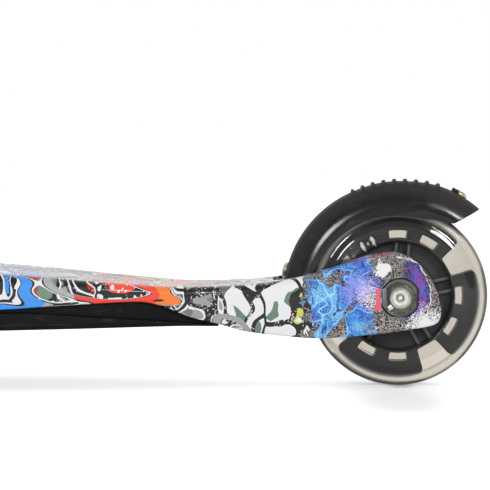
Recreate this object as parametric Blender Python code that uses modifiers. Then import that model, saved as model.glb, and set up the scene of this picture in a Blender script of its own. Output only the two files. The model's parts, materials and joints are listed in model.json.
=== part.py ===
"""Three-wheeled kick scooter with lean steering, a printed moulded deck and a step-on rear brake.

Metres, +Z up, +X towards the rear, -Y the side with the axle bolt's head. The origin is on the floor, under
the middle of the scooter. Side outlines of the deck are given as (distance from the rear axle, height).
"""

import math

import bmesh
import bpy
from mathutils import Matrix, Vector

# Overall layout
WHEELBASE = 0.455
REAR_WHEEL_RADIUS = 0.050
FRONT_WHEEL_RADIUS = 0.060
FRONT_TRACK = 0.230
COLUMN_RAKE = math.radians(10)

# Clearances
FIT = 0.0003                 # between pieces that seat on each other
RUNNING_GAP = 0.0015         # between pieces that pass each other

# Wheels: a black core, with a clear tyre moulded round it
REAR_SIDES = 32              # facets round the rear tyre
FRONT_SIDES = 20
TYRE_WIDTH = 0.024
TYRE_FACE = 0.0225           # across the sunk inner band of its sides
TYRE_BAND = 0.0100           # tread to the edge of that band
TYRE_CROWN = 0.011
TYRE_BEVEL = 0.0042
TYRE_SHOULDER = (0.0012, 0.0024)     # its middle, in from the tread and from the side
CORE_WIDTH = 0.019
TYRE_DEPTH = 0.0047          # tyre outside the core's lobes
LOBE_DEPTH = 0.0090          # lobes outside the core's ring
RING_DEPTH = 0.0068          # the core's ring, which holds the windows
WINDOW_COUNT = 12
NOTCH_EVERY = 3              # every third window runs out between two lobes,
ROUNDEL_NOTCH = 1            # but one of these is a round opening instead
ROUNDEL_RADII = (0.0029, 0.0045)
ROUNDEL_DEPTH = 0.0031       # its middle, in from the ring's outer side
ROUNDEL_ANGLE = math.radians(84)
WINDOW_INSET = 0.0022        # from the ring's inner side to a window
WINDOW_ANGLE = math.radians(17)
NOTCH_ANGLE = math.radians(22.5)
LOBE_CORNER = math.radians(3)
LOBE_ROUND = 0.25            # the share of a lobe's depth that its corners take
LOBE_POINTS_FROM = 6         # a lobe has a point for every so many of the wheel's facets, and one more
WHEEL_TURN = math.radians(30)
HUB_WIDTH = 0.023
HUB_WALL = 0.0032
WEB_THICKNESS = 0.004
RIB_PAIRS = 5
RIB_SPREAD = 0.0070
RIB_THICKNESS = 0.0018
RIB_WIDTH = 0.015
RIB_TURN = math.radians(12.5)
SEAT_EDGE = 0.0005           # how far a bearing sits inside the hub's face

# Bearings and axles
AXLE_RADIUS = 0.004
BEARING_RADIUS = 0.011
BEARING_WIDTH = 0.007
BEARING_LEDGE = 0.0018
SPACER_RADIUS = 0.006
BOLT_HEAD_RADIUS = 0.0075
BOLT_HEAD_HEIGHT = 0.0048
HEX_KEY = 0.005
NUT_ACROSS_FLATS = 0.013
NUT_HEIGHT = 0.0065

# Deck: side outline as (distance behind the rear axle, height above it), and plan
DECK_FRONT = 0.043 - WHEELBASE       # its front end, behind the front axle
DECK_TOP = ((DECK_FRONT, 0.0165), (-0.250, 0.0165), (-0.221, 0.0148), (-0.189, 0.0122), (-0.152, 0.0088),
            (-0.115, 0.0064), (-0.088, 0.0070), (-0.060, 0.0103), (-0.036, 0.0166), (-0.016, 0.0235),
            (-0.005, 0.0252), (0.004, 0.0229), (0.014, 0.0143), (0.0203, 0.0032), (0.0224, -0.0040))
DECK_BOTTOM = ((DECK_FRONT, -0.0050), (-0.250, -0.0056), (-0.216, -0.0047), (-0.183, -0.0027),
               (-0.142, -0.0010), (-0.131, -0.0030), (-0.114, -0.0099), (-0.099, -0.0138), (-0.083, -0.0181),
               (-0.066, -0.0203), (-0.046, -0.0219), (-0.014, -0.0199), (0.007, -0.0171), (0.0177, -0.0151),
               (0.0213, -0.0130), (0.0224, -0.0095))
DECK_HALF_WIDTH = ((DECK_FRONT, 0.0400), (DECK_FRONT + 0.027, 0.0470), (DECK_FRONT + 0.072, 0.0560),
                   (DECK_FRONT + 0.132, 0.0615), (-0.230, 0.0620), (-0.180, 0.0585), (-0.140, 0.0505),
                   (-0.105, 0.0405), (-0.075, 0.0360), (-0.040, 0.0338), (0.000, 0.0322), (0.016, 0.0312),
                   (0.0224, 0.0300))
DECK_SHOULDER = ((DECK_FRONT, 0.0050), (-0.216, 0.0058), (-0.130, 0.0040), (-0.090, 0.0038),
                 (-0.050, 0.0056), (-0.010, 0.0024), (0.0224, 0.0010))
DECK_STATIONS = 28
DECK_CROWDING = 1.6          # above 1, the stations stand closer together towards the tail
DECK_LOWER_ROUND = 0.0012
GROOVE_ROWS = 5
GROOVE_FIRST = DECK_FRONT + 0.150
GROOVE_PITCH = 0.015
GROOVE_WIDTH = 0.003
GROOVE_LENGTH = 0.022
GROOVE_DEPTH = 0.0008
GROOVE_FROM_MIDDLE = 0.018

# Fork: the wheel's slot in the deck's tail
SLOT_HALF_WIDTH = 0.021
SLOT_FRONT = -0.069
SLOT_ROUND = 0.008

# Belly pan under the deck, placed as the deck is
PAN_FRONT = DECK_FRONT + 0.012
PAN_BOTTOM = ((PAN_FRONT, -0.0125), (PAN_FRONT + 0.030, -0.0158), (PAN_FRONT + 0.070, -0.0166),
              (-0.235, -0.0166), (-0.216, -0.0162), (-0.152, -0.0151), (-0.120, -0.0147), (-0.099, -0.0150))
PAN_LIP_TOP = ((PAN_FRONT, -0.0080), (PAN_FRONT + 0.070, -0.0068), (-0.205, -0.0066), (-0.163, -0.0092),
               (-0.120, -0.0123), (-0.099, -0.0142))
PAN_INSET = 0.005
PAN_LIP = 0.003
PAN_ROUND = 0.003
PAN_SCREWS = ((PAN_FRONT + 0.050, 0.024), (PAN_FRONT + 0.050, -0.024), (-0.165, 0.024), (-0.165, -0.024))
SCREW_RADIUS = 0.002
SCREW_HEAD_RADIUS = 0.004
SCREW_HEAD_HEIGHT = 0.002
SCREW_GRIP = 0.008           # how far a screw reaches into the piece that it holds

# Axle inserts in the fork
INSERT_RADIUS = 0.0108
INSERT_FLAT = 0.0098         # from the axle to the insert's flats, ahead, behind and below
INSERT_FACE = 0.0320         # from the middle to its outer face
INSERT_POCKET_RADIUS = 0.0084
INSERT_POCKET_DEPTH = 0.003

# Fender brake, with its outline as (degrees about the rear axle, distance from it)
HINGE_AHEAD = 0.058
HINGE_DROP = 0.006           # hinge below the rear axle
HINGE_PIN_RADIUS = 0.0025
HINGE_HEAD_RADIUS = 0.0045
HINGE_HEAD_HEIGHT = 0.002
HINGE_PIN_BLIND = 0.006      # how far the pin enters the near arm
HINGE_EDGE = 0.0035          # how far the pin's head is sunk in the far arm
FENDER_WALL = 0.0024
FENDER_HALF_WIDTH = 0.0180
FENDER_ROUND_ACROSS = 0.012  # its crown rounds over into its sides
FENDER_ROUND_DOWN = 0.0145
FENDER_CAMBER = 0.0006
FENDER_CROWN = ((42, 0.0655), (56, 0.0650), (69, 0.0642), (84, 0.0629), (96, 0.0625), (112, 0.0620),
                (171, 0.0626), (180, 0.0628))
FENDER_SKIRT = ((52.8, 0.0503), (56, 0.0484), (62, 0.0472), (74, 0.0446), (92, 0.0444), (123, 0.0456),
                (150, 0.0472), (170, 0.0480), (180, 0.0490))
SKIRT_POINTS = 13
FENDER_TIP = (0.0452, 0.0478)        # behind the rear axle and above it
FENDER_STEP = 14
FENDER_ROOT = 0.040          # how far in the uncut walls reach
LUG_RADIUS = 0.0070
LUG_INNER = 0.009
BAR_COUNT = 9
BAR_FIRST = 69.8
BAR_PITCH = 5.44
BAR_HEIGHT = 0.0013
BAR_FOOT = 0.9               # degrees from a bar's middle to its foot
PAD_THICKNESS = 0.0032
PAD_HALF_WIDTH = 0.008
PAD_FROM = 54                # degrees, and the pad ends at the fender stations within
PAD_TO = 88
FENDER_SCREWS = (58, 167)
FENDER_SCREW_RADIUS = 0.0046
FENDER_SCREW_HEIGHT = 0.0026
SPRING_WIRE = 0.0007
SPRING_RADIUS = 0.0036
SPRING_TURNS = 3
SPRING_PITCH = 0.0022
SPRING_LEG = 0.016           # the leg's end above the hinge
COIL_POINTS = 8              # points in a turn

# Steering truck: a beam that leans about a pivot, with two knuckles and a tie rod
PIVOT_RISE = 0.020           # pivot above the front axle
PIVOT_RADIUS = 0.004
PIVOT_HEAD_RADIUS = 0.007
PIVOT_HEAD_HEIGHT = 0.005
PIVOT_BLIND = 0.014
BEAM_THICKNESS = 0.020
BEAM_HEIGHT = 0.016
BEAM_END_HEIGHT = 0.013
BEAM_HUB_RADIUS = 0.0125
BEAM_EDGE = 0.0015
KINGPIN_SPREAD = 0.080       # from the middle to a kingpin
KINGPIN_RADIUS = 0.004
KINGPIN_BOSS = 0.0095
KINGPIN_DEPTH = 0.014        # its thread in the beam
KINGPIN_HEAD_RADIUS = 0.0068
KINGPIN_HEAD_HEIGHT = 0.004
KNUCKLE_RADIUS = 0.0085
KNUCKLE_BELOW = 0.013        # knuckle below the front axle
STUB_RADIUS = 0.0068
ARM_HALF_WIDTH = 0.006
ARM_THICKNESS = 0.006
ARM_PIN_RADIUS = 0.003
TIE_THICKNESS = 0.006
TIE_HALF_WIDTH = 0.0045
TIE_EYE_RADIUS = 0.0075
TIE_ARC_ROOM = 0.001         # room for the arms' and the ball's arcs, each way
TIE_PAD = 0.0095
TIE_LIFT = 0.0005            # tie rod above the steering arms
DRIVE_STEM_RADIUS = 0.0022
DRIVE_BALL_RADIUS = 0.0035
DRIVE_SEAT = 0.005
PEG_RADIUS = 0.0058
PEG_HEIGHT = 0.003
LEAN_SPRING_SPREAD = 0.027
LEAN_SPRING_RADIUS = 0.0075
LEAN_SPRING_WIRE = 0.0010
LEAN_SPRING_TURNS = 3

# Steering head: the housing that joins deck, truck and column, as distances behind the front axle
BAY_HALF_LENGTH = 0.0205
EAR_THICKNESS = 0.008
EAR_HALF_WIDTH = 0.014
BAY_HEIGHT = 0.022           # bay's roof above the pivot
HEAD_CREST = ((-0.0285, -0.008), (-0.024, -0.0015), (-0.016, 0.0), (0.022, 0.0), (0.040, -0.008),
              (0.062, -0.026), (0.082, -0.0405), (0.090, -0.0438))
HEAD_HALF_WIDTH = ((-0.0285, 0.033), (-0.022, 0.038), (0.000, 0.041), (0.040, 0.0415), (0.070, 0.040),
                   (0.090, 0.034))
HEAD_STATIONS = 14
HEAD_SHOULDER = 0.010
HEAD_ROOF = 0.012            # crest above the bay's roof
HEAD_SCREW_BEHIND = 0.070
HEAD_SCREW_SPREAD = 0.024    # from the middle
HEAD_SCREW_SEAT = 0.006      # above the deck
BOSS_RADIUS = 0.0195
BOSS_FLARE = 0.003
BOSS_LENGTH = 0.036          # from the socket's floor
BOSS_ROOT = 0.004
THUMB_RADIUS = 0.008
THUMB_DEPTH = 0.018          # from the column's middle to the floor of the thumb's recess

# Column and handlebar, along the column from the socket's floor
SOCKET_FLOOR = 0.006         # socket's floor above the bay's roof
TUBE_RADIUS = 0.015
TUBE_WALL = 0.002
TUBE_LENGTH = 0.300
INNER_TUBE_WALL = 0.0016
INNER_TUBE_START = 0.060
BAR_PLACE = 0.575
COLLAR_HEIGHT = 0.024
COLLAR_WALL = 0.005
COLLAR_ABOVE = 0.002
COLLAR_SPLIT = 0.004
COLLAR_EAR_LENGTH = 0.014
COLLAR_EAR = 0.006
CLAMP_BOLT_RADIUS = 0.0025
CLAMP_EYE_RADIUS = 0.004
CLAMP_EYE_THICKNESS = 0.005
CLAMP_PIN_RADIUS = 0.0015
CLAMP_HEAD_RADIUS = 0.005
CLAMP_HEAD_HEIGHT = 0.003
LEVER_HUB_RADIUS = 0.005
LEVER_HEIGHT = 0.015
LEVER_THICKNESS = 0.005
LEVER_GAP = 0.001            # between the closed lever and the collar
LEVER_REACH = math.radians(118)
BUTTON_RADIUS = 0.004
BUTTON_STAND = 0.0025        # how far it stands out of the thumb's recess
BUTTON_UP = 0.020
BUTTON_FLANGE = 0.006
BUTTON_FLANGE_THICKNESS = 0.0015
LEAF_WALL = 0.0007
LEAF_WIDTH = 0.006
LEAF_DROP = 0.011
LEAF_RISE = 0.005
TEE_RADIUS = 0.0155
TEE_STEM_RADIUS = 0.0170
TEE_STEM_LENGTH = 0.045
TEE_HALF_WIDTH = 0.030
BAR_RADIUS = 0.011
BAR_WALL = 0.0016
BAR_HALF_WIDTH = 0.150
GRIP_LENGTH = 0.105
GRIP_RADIUS = 0.0150
GRIP_FLANGE_RADIUS = 0.0185
GRIP_RIB = 0.0009
GRIP_RIBS = 4
GRIP_FLANGE = 0.003
GRIP_TURN = 0.003            # the rounding of its closed end
GRIP_END = 0.003

# Places that follow from the sizes above
REAR_AXLE_Z = REAR_WHEEL_RADIUS * math.cos(math.pi / REAR_SIDES)
FRONT_AXLE_Z = FRONT_WHEEL_RADIUS * math.cos(math.pi / FRONT_SIDES)
REAR_AXLE_X = (WHEELBASE + FRONT_AXLE_Z - REAR_AXLE_Z) / 2
FRONT_AXLE_X = REAR_AXLE_X - WHEELBASE
PIVOT_Z = FRONT_AXLE_Z + PIVOT_RISE
ROOF_Z = PIVOT_Z + BAY_HEIGHT
DECK_END = DECK_TOP[-1][0]
DECK_TOP_Z = REAR_AXLE_Z + DECK_TOP[0][1]
COLUMN_FOOT = Vector((FRONT_AXLE_X, 0, ROOF_Z + SOCKET_FLOOR))
COLUMN_AXIS = Vector((math.sin(COLUMN_RAKE), 0, math.cos(COLUMN_RAKE)))
HINGE_X = REAR_AXLE_X - HINGE_AHEAD
HINGE_Z = REAR_AXLE_Z - HINGE_DROP
HUB_RADIUS = BEARING_RADIUS + FIT + HUB_WALL
ARM_LENGTH = BAY_HALF_LENGTH + EAR_THICKNESS / 2
ARM_TOP_Z = FRONT_AXLE_Z - KNUCKLE_BELOW + ARM_THICKNESS
TIE_Z = ARM_TOP_Z + TIE_LIFT + TIE_THICKNESS / 2
BEARING_FACE = HUB_WIDTH / 2 - SEAT_EDGE


def clear_scene():
    for obj in list(bpy.data.objects):
        bpy.data.objects.remove(obj)


def collection(name, hidden=False):
    made = bpy.data.collections.new(name)
    bpy.context.scene.collection.children.link(made)
    made.hide_render = hidden
    return made


def material(name, colour, roughness, metallic=0.0, alpha=1.0):
    made = bpy.data.materials.new(name)
    made.use_nodes = True
    shader = made.node_tree.nodes["Principled BSDF"]
    shader.inputs["Base Color"].default_value = (*colour, 1)
    shader.inputs["Roughness"].default_value = roughness
    shader.inputs["Metallic"].default_value = metallic
    shader.inputs["Alpha"].default_value = alpha
    return made


def between(points, x):
    """Height of a smooth curve through (place, value) points that keeps to their rises and falls."""
    xs = [p[0] for p in points]
    ys = [p[1] for p in points]
    if x <= xs[0]:
        return ys[0]
    if x >= xs[-1]:
        return ys[-1]
    i = max(k for k in range(len(xs) - 1) if xs[k] <= x)

    def slope(k):
        if k in (0, len(xs) - 1):
            return 0.0
        before = (ys[k] - ys[k - 1]) / (xs[k] - xs[k - 1])
        after = (ys[k + 1] - ys[k]) / (xs[k + 1] - xs[k])
        if before * after <= 0:
            return 0.0
        return 2 * before * after / (before + after)

    span = xs[i + 1] - xs[i]
    t = (x - xs[i]) / span
    return ((1 + 2 * t) * (1 - t) ** 2 * ys[i] + t * (1 - t) ** 2 * span * slope(i)
            + t * t * (3 - 2 * t) * ys[i + 1] + t * t * (t - 1) * span * slope(i + 1))


def arc(radius, start, end, count, centre=(0, 0)):
    """Points on a circular arc, from start to end in radians."""
    steps = [start + (end - start) * i / (count - 1) for i in range(count)]
    return [(centre[0] + radius * math.cos(a), centre[1] + radius * math.sin(a)) for a in steps]


class Builder:
    """Makes objects, puts them in the right collection and holds the materials.

    What is added after pivot() hangs on an empty on its joint's axis, without moving from its place.
    """

    def __init__(self):
        self.parts = collection("wiggle_scooter")
        self.cutters = collection("cutters", hidden=True)
        self.print = material("printed_nylon", (0.42, 0.40, 0.42), 0.35)
        self.black = material("black_plastic", (0.025, 0.025, 0.027), 0.45)
        self.clear = material("smoky_urethane", (0.60, 0.54, 0.44), 0.1, alpha=0.5)
        self.steel = material("zinc_steel", (0.62, 0.60, 0.55), 0.35, 1.0)
        self.alloy = material("brushed_alloy", (0.75, 0.76, 0.78), 0.3, 1.0)
        self.rubber = material("soft_rubber", (0.03, 0.03, 0.032), 0.8)
        self.joint = None

    def add(self, name, mesh, finish, at=(0, 0, 0), turn=None):
        obj = bpy.data.objects.new(name, mesh)
        mesh.materials.clear()
        if finish:
            mesh.materials.append(finish)
        (self.parts if finish else self.cutters).objects.link(obj)
        if not finish:
            obj.hide_render = True
            obj.display_type = "WIRE"
        place = Matrix.Translation(at) @ (turn.to_4x4() if turn else Matrix.Identity(4))
        if self.joint and finish:
            obj.parent = self.joint
            place = Matrix.Translation(self.joint.location).inverted() @ place
        obj.matrix_local = place
        return obj

    def pivot(self, name, at):
        self.joint = bpy.data.objects.new(name, None)
        self.joint.location = at
        self.parts.objects.link(self.joint)

    def fixed(self):
        self.joint = None


ALONG_Y = Matrix.Rotation(math.radians(-90), 3, "X")     # local Z to +Y
TO_CAMERA = Matrix.Rotation(math.radians(90), 3, "X")    # local X, Y, Z to +X, +Z, -Y
CROSSWISE = Matrix(((0, 0, 1), (1, 0, 0), (0, 1, 0)))    # local X, Y, Z to +Y, +Z, +X
FORWARD = Matrix.Rotation(math.radians(-90), 3, "Y")     # local Z to -X
UPSIDE_DOWN = Matrix.Rotation(math.radians(180), 3, "X")
RAKED = Matrix.Rotation(COLUMN_RAKE, 3, "Y")             # local Z along the column


def finish_mesh(bm, name, smooth=35):
    bmesh.ops.recalc_face_normals(bm, faces=bm.faces)
    mesh = bpy.data.meshes.new(name)
    bm.to_mesh(mesh)
    bm.free()
    mesh.shade_smooth()
    mesh.set_sharp_from_angle(angle=math.radians(smooth))
    return mesh


def cylinder(radius, height, sides=24, top_radius=None, centred=True):
    bm = bmesh.new()
    spot = Matrix.Translation((0, 0, 0 if centred else height / 2))
    bmesh.ops.create_cone(bm, cap_ends=True, segments=sides, radius1=radius,
                          radius2=radius if top_radius is None else top_radius, depth=height, matrix=spot)
    return finish_mesh(bm, "cylinder")


def box(low, high):
    bm = bmesh.new()
    bmesh.ops.create_cube(bm, size=1)
    middle = [(a + b) / 2 for a, b in zip(low, high)]
    bmesh.ops.scale(bm, vec=[b - a for a, b in zip(low, high)], verts=bm.verts)
    bmesh.ops.translate(bm, vec=middle, verts=bm.verts)
    return finish_mesh(bm, "box")


def prism(loops, low, high, smooth=35):
    """A flat outline with holes, from height low to high: a filled 2D curve, extruded and made a mesh."""
    curve = bpy.data.curves.new("outline", "CURVE")
    curve.dimensions = "2D"
    curve.fill_mode = "BOTH"
    curve.extrude = (high - low) / 2
    for points in loops:
        spline = curve.splines.new("POLY")
        spline.points.add(len(points) - 1)
        for place, (x, y) in zip(spline.points, points):
            place.co = (x, y, 0, 1)
        spline.use_cyclic_u = True
    holder = bpy.data.objects.new("outline", curve)
    bpy.context.scene.collection.objects.link(holder)
    graph = bpy.context.evaluated_depsgraph_get()
    mesh = bpy.data.meshes.new_from_object(holder.evaluated_get(graph))
    bpy.data.objects.remove(holder)
    bm = bmesh.new()
    bm.from_mesh(mesh)
    bpy.data.meshes.remove(mesh)
    bmesh.ops.remove_doubles(bm, verts=bm.verts, dist=1e-6)
    bmesh.ops.translate(bm, vec=(0, 0, (low + high) / 2), verts=bm.verts)
    return finish_mesh(bm, "prism", smooth)


def turned(profile, sides=24, phase=0.0):
    """A profile of (radius, height) points, outer side downwards, turned about Z by a Screw modifier.

    A profile that starts and ends on the axis stays open there, and any other is closed.
    """
    closed = profile[0][0] > 0 or profile[-1][0] > 0
    bm = bmesh.new()
    places = [bm.verts.new((r * math.cos(phase), r * math.sin(phase), h)) for r, h in profile]
    pairs = list(zip(places, places[1:] + places[:1])) if closed else list(zip(places, places[1:]))
    for a, b in pairs:
        bm.edges.new((a, b))
    mesh = bpy.data.meshes.new("profile")
    bm.to_mesh(mesh)
    bm.free()
    holder = bpy.data.objects.new("profile", mesh)
    bpy.context.scene.collection.objects.link(holder)
    screw = holder.modifiers.new("turn", "SCREW")
    screw.steps = screw.render_steps = sides
    screw.use_merge_vertices = True
    screw.merge_threshold = 1e-5
    graph = bpy.context.evaluated_depsgraph_get()
    made = bpy.data.meshes.new_from_object(holder.evaluated_get(graph))
    bpy.data.objects.remove(holder)
    bm = bmesh.new()
    bm.from_mesh(made)
    bpy.data.meshes.remove(made)
    bmesh.ops.remove_doubles(bm, verts=bm.verts, dist=1e-6)
    return finish_mesh(bm, "turned")


def loft(rings, smooth=35):
    """A skin through rings of points, one after another, with its ends filled."""
    bm = bmesh.new()
    rows = [[bm.verts.new(p) for p in ring] for ring in rings]
    for a, b in zip(rows, rows[1:]):
        for i in range(len(a)):
            j = (i + 1) % len(a)
            bm.faces.new((a[i], a[j], b[j], b[i]))
    bm.faces.new(rows[0])
    bm.faces.new(rows[-1])
    return finish_mesh(bm, "loft", smooth)


def wire(points, radius, resolution=1):
    """A round wire through points, with filled ends."""
    curve = bpy.data.curves.new("wire", "CURVE")
    curve.dimensions = "3D"
    curve.bevel_depth = radius
    curve.bevel_resolution = resolution
    curve.use_fill_caps = True
    spline = curve.splines.new("POLY")
    spline.points.add(len(points) - 1)
    for place, point in zip(spline.points, points):
        place.co = (*point, 1)
    holder = bpy.data.objects.new("wire", curve)
    bpy.context.scene.collection.objects.link(holder)
    graph = bpy.context.evaluated_depsgraph_get()
    mesh = bpy.data.meshes.new_from_object(holder.evaluated_get(graph))
    bpy.data.objects.remove(holder)
    bm = bmesh.new()
    bm.from_mesh(mesh)
    bpy.data.meshes.remove(mesh)
    bmesh.ops.remove_doubles(bm, verts=bm.verts, dist=1e-6)
    return finish_mesh(bm, "wire", 60)


def boolean(obj, tool, operation):
    modifier = obj.modifiers.new(f"{operation.lower()}_{tool.name}", "BOOLEAN")
    modifier.operation = operation
    modifier.object = tool
    modifier.solver = "EXACT"


def cut(obj, *tools):
    for tool in tools:
        boolean(obj, tool, "DIFFERENCE")


def join(obj, *tools):
    for tool in tools:
        boolean(obj, tool, "UNION")


def hexagon(across_flats):
    radius = across_flats / math.sqrt(3)
    turns = [math.radians(degrees) for degrees in range(30, 390, 60)]
    return [(radius * math.cos(turn), radius * math.sin(turn)) for turn in turns]


def circle(radius, sides):
    turns = [2 * math.pi * i / sides for i in range(sides)]
    return [(radius * math.cos(a), radius * math.sin(a)) for a in turns]


def tube(outer, inner, height, sides=24):
    """A tube about Z, centred on its middle."""
    half = height / 2
    return turned([(outer, half), (outer, -half), (inner, -half), (inner, half)], sides)


def merged(meshes, name):
    """Several meshes in one, as a cutter or as pieces to join."""
    bm = bmesh.new()
    for mesh in meshes:
        bm.from_mesh(mesh)
    return finish_mesh(bm, name)


def moved(mesh, at=(0, 0, 0), turn=None):
    mesh.transform(Matrix.Translation(at) @ (turn.to_4x4() if turn else Matrix.Identity(4)))
    return mesh


def along_column(distance):
    return COLUMN_FOOT + COLUMN_AXIS * distance


def sided(side):
    """The turn that points local Z outwards from the left side (-Y) or the right side (+Y)."""
    return TO_CAMERA if side < 0 else ALONG_Y


SIDES = (("left", -1), ("right", 1))


# Wheels

def wheel_radii(radius):
    """The core's lobes, its ring and the ring's inner side, for a wheel of this radius."""
    lobe = radius - TYRE_DEPTH
    ring = lobe - LOBE_DEPTH
    return lobe, ring, ring - RING_DEPTH


def core_outline(radius, sides, grow=0.0):
    """The core's outer edge: lobes, with a gap between two of them at each notch."""
    lobe, ring, inner = wheel_radii(radius)
    foot = inner + WINDOW_INSET
    lobe, ring, foot = lobe + grow, ring + grow, foot + grow
    notches = [i for i in range(WINDOW_COUNT // NOTCH_EVERY) if i != ROUNDEL_NOTCH]
    quarter = 2 * math.pi * NOTCH_EVERY / WINDOW_COUNT
    points = []
    for notch, following in zip(notches, notches[1:] + [notches[0] + WINDOW_COUNT // NOTCH_EVERY]):
        middle, after = WHEEL_TURN + notch * quarter, WHEEL_TURN + following * quarter
        window = WINDOW_ANGLE / 2 - grow / ring
        opening = NOTCH_ANGLE / 2 - grow / lobe
        points += arc(foot, middle - window, middle + window, 2)
        points += [(ring * math.cos(middle + a), ring * math.sin(middle + a)) for a in (window, opening)]
        low = lobe - (lobe - ring) * LOBE_ROUND
        points.append((low * math.cos(middle + opening), low * math.sin(middle + opening)))
        inward = opening + LOBE_CORNER
        count = (following - notch) * (sides // LOBE_POINTS_FROM) + 1
        points += arc(lobe, middle + inward, after - inward, count)
        points.append((low * math.cos(after - opening), low * math.sin(after - opening)))
        points += [(ring * math.cos(after - a), ring * math.sin(after - a)) for a in (opening, window)]
    return points


def window_outlines(radius):
    """The closed windows in the core's ring, and the two slots of its round opening."""
    lobe, ring, inner = wheel_radii(radius)
    foot = inner + WINDOW_INSET
    loops = []
    for index in range(WINDOW_COUNT):
        if index % NOTCH_EVERY:
            middle = WHEEL_TURN + index * 2 * math.pi / WINDOW_COUNT
            low, high = middle - WINDOW_ANGLE / 2, middle + WINDOW_ANGLE / 2
            loops.append(arc(foot, low, high, 2) + arc(ring, high, low, 3))
    turn = WHEEL_TURN + ROUNDEL_NOTCH * NOTCH_EVERY * 2 * math.pi / WINDOW_COUNT
    place = ((ring - ROUNDEL_DEPTH) * math.cos(turn), (ring - ROUNDEL_DEPTH) * math.sin(turn))
    for facing in (turn - math.pi / 2, turn + math.pi / 2):
        low, high = facing - ROUNDEL_ANGLE / 2, facing + ROUNDEL_ANGLE / 2
        loops.append(arc(ROUNDEL_RADII[1], low, high, 6, place) + arc(ROUNDEL_RADII[0], high, low, 4, place))
    return loops


def rib_mesh(radius, paired):
    """Ribs between the hub and the ring: pairs, or a single rib in each pair's place."""
    inner = wheel_radii(radius)[2]
    overlap = WINDOW_INSET / 2
    ribs = []
    for pair in range(RIB_PAIRS):
        turn = Matrix.Rotation(RIB_TURN + pair * 2 * math.pi / RIB_PAIRS, 3, "Z")
        for side in (-1, 1) if paired else (0,):
            middle = side * RIB_SPREAD / 2
            low = (HUB_RADIUS - overlap, middle - RIB_THICKNESS / 2, -RIB_WIDTH / 2)
            high = (inner + overlap, middle + RIB_THICKNESS / 2, RIB_WIDTH / 2)
            ribs.append(moved(box(low, high), turn=turn))
    return merged(ribs, "ribs")


def core_mesh_parts(radius, sides, paired):
    inner = wheel_radii(radius)[2]
    loops = [core_outline(radius, sides)] + window_outlines(radius) + [circle(inner, sides)]
    ring = prism(loops, -CORE_WIDTH / 2, CORE_WIDTH / 2)
    web = cylinder(inner + WINDOW_INSET / 2, WEB_THICKNESS, sides)
    hub = cylinder(HUB_RADIUS, HUB_WIDTH, sides // 2)
    return ring, web, hub, rib_mesh(radius, paired)


def hub_bore():
    """What is cut from a hub: two bearing seats and the hole between them."""
    seat = BEARING_RADIUS + FIT
    inside = BEARING_FACE - BEARING_WIDTH - FIT
    over = HUB_WIDTH
    ledge = BEARING_RADIUS - BEARING_LEDGE
    return turned([(0, over), (seat, over), (seat, inside), (ledge, inside), (ledge, -inside), (seat, -inside),
                   (seat, -over), (0, -over)], 16)


def tyre_profile(radius):
    inner = wheel_radii(radius)[2]
    half = TYRE_WIDTH / 2
    band = radius - TYRE_BAND
    face = TYRE_FACE / 2
    drop, side = TYRE_SHOULDER
    upper = [(inner, face), (band, face), (band + half - face, half), (radius - TYRE_BEVEL, half),
             (radius - drop, half - side), (radius, TYRE_CROWN / 2)]
    return upper + [(r, -h) for r, h in reversed(upper)]


def bearing_mesh():
    """A sealed ball bearing."""
    return tube(BEARING_RADIUS, AXLE_RADIUS + FIT, BEARING_WIDTH, 14)


def wheel(build, name, centre, radius, sides, paired):
    """A wheel on an axle along Y: core, tyre, two bearings and the tube between them."""
    ring, web, hub, ribs = core_mesh_parts(radius, sides, paired)
    core = build.add(f"{name}_core", ring, build.black, centre, TO_CAMERA)
    for label, mesh in (("web", web), ("hub", hub), ("ribs", ribs)):
        join(core, build.add(f"{name}_{label}", mesh, None, centre, TO_CAMERA))
    cut(core, build.add(f"{name}_bore", hub_bore(), None, centre, TO_CAMERA))
    skin = turned(tyre_profile(radius), sides, phase=math.pi / sides)
    tyre = build.add(f"{name}_tyre", skin, build.clear, centre, TO_CAMERA)
    room = prism([core_outline(radius, sides, FIT)], -CORE_WIDTH / 2 - FIT, CORE_WIDTH / 2 + FIT)
    cut(tyre, build.add(f"{name}_tyre_room", room, None, centre, TO_CAMERA))
    for label, side in SIDES:
        place = centre + Vector((0, side * (BEARING_FACE - BEARING_WIDTH / 2), 0))
        build.add(f"{name}_bearing_{label}", bearing_mesh(), build.alloy, place, sided(side))
    length = 2 * (BEARING_FACE - BEARING_WIDTH - FIT)
    spacer = tube(SPACER_RADIUS, AXLE_RADIUS + FIT, length, 12)
    build.add(f"{name}_bearing_spacer", spacer, build.alloy, centre, TO_CAMERA)


# Deck

def deck_half_width(d):
    return between(DECK_HALF_WIDTH, d)


def deck_ring(d):
    """The deck's section at a distance behind the rear axle: flat top, rounded shoulders, upright sides."""
    x = REAR_AXLE_X + d
    half = deck_half_width(d)
    top = REAR_AXLE_Z + between(DECK_TOP, d)
    bottom = REAR_AXLE_Z + between(DECK_BOTTOM, d)
    shoulder = min(between(DECK_SHOULDER, d), 0.45 * (top - bottom))
    foot = min(DECK_LOWER_ROUND, 0.2 * (top - bottom))
    side = arc(shoulder, math.pi / 2, 0, 4, (half - shoulder, top - shoulder))
    side += arc(foot, 0, -math.pi / 2, 2, (half - foot, bottom + foot))
    return [(x, y, z) for y, z in side] + [(x, -y, z) for y, z in reversed(side)]


def deck_stations():
    """Distances behind the rear axle, closer together towards the fork's ends."""
    last = DECK_STATIONS - 1
    return [DECK_END - (DECK_END - DECK_FRONT) * (1 - i / last) ** DECK_CROWDING for i in range(DECK_STATIONS)]


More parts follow.
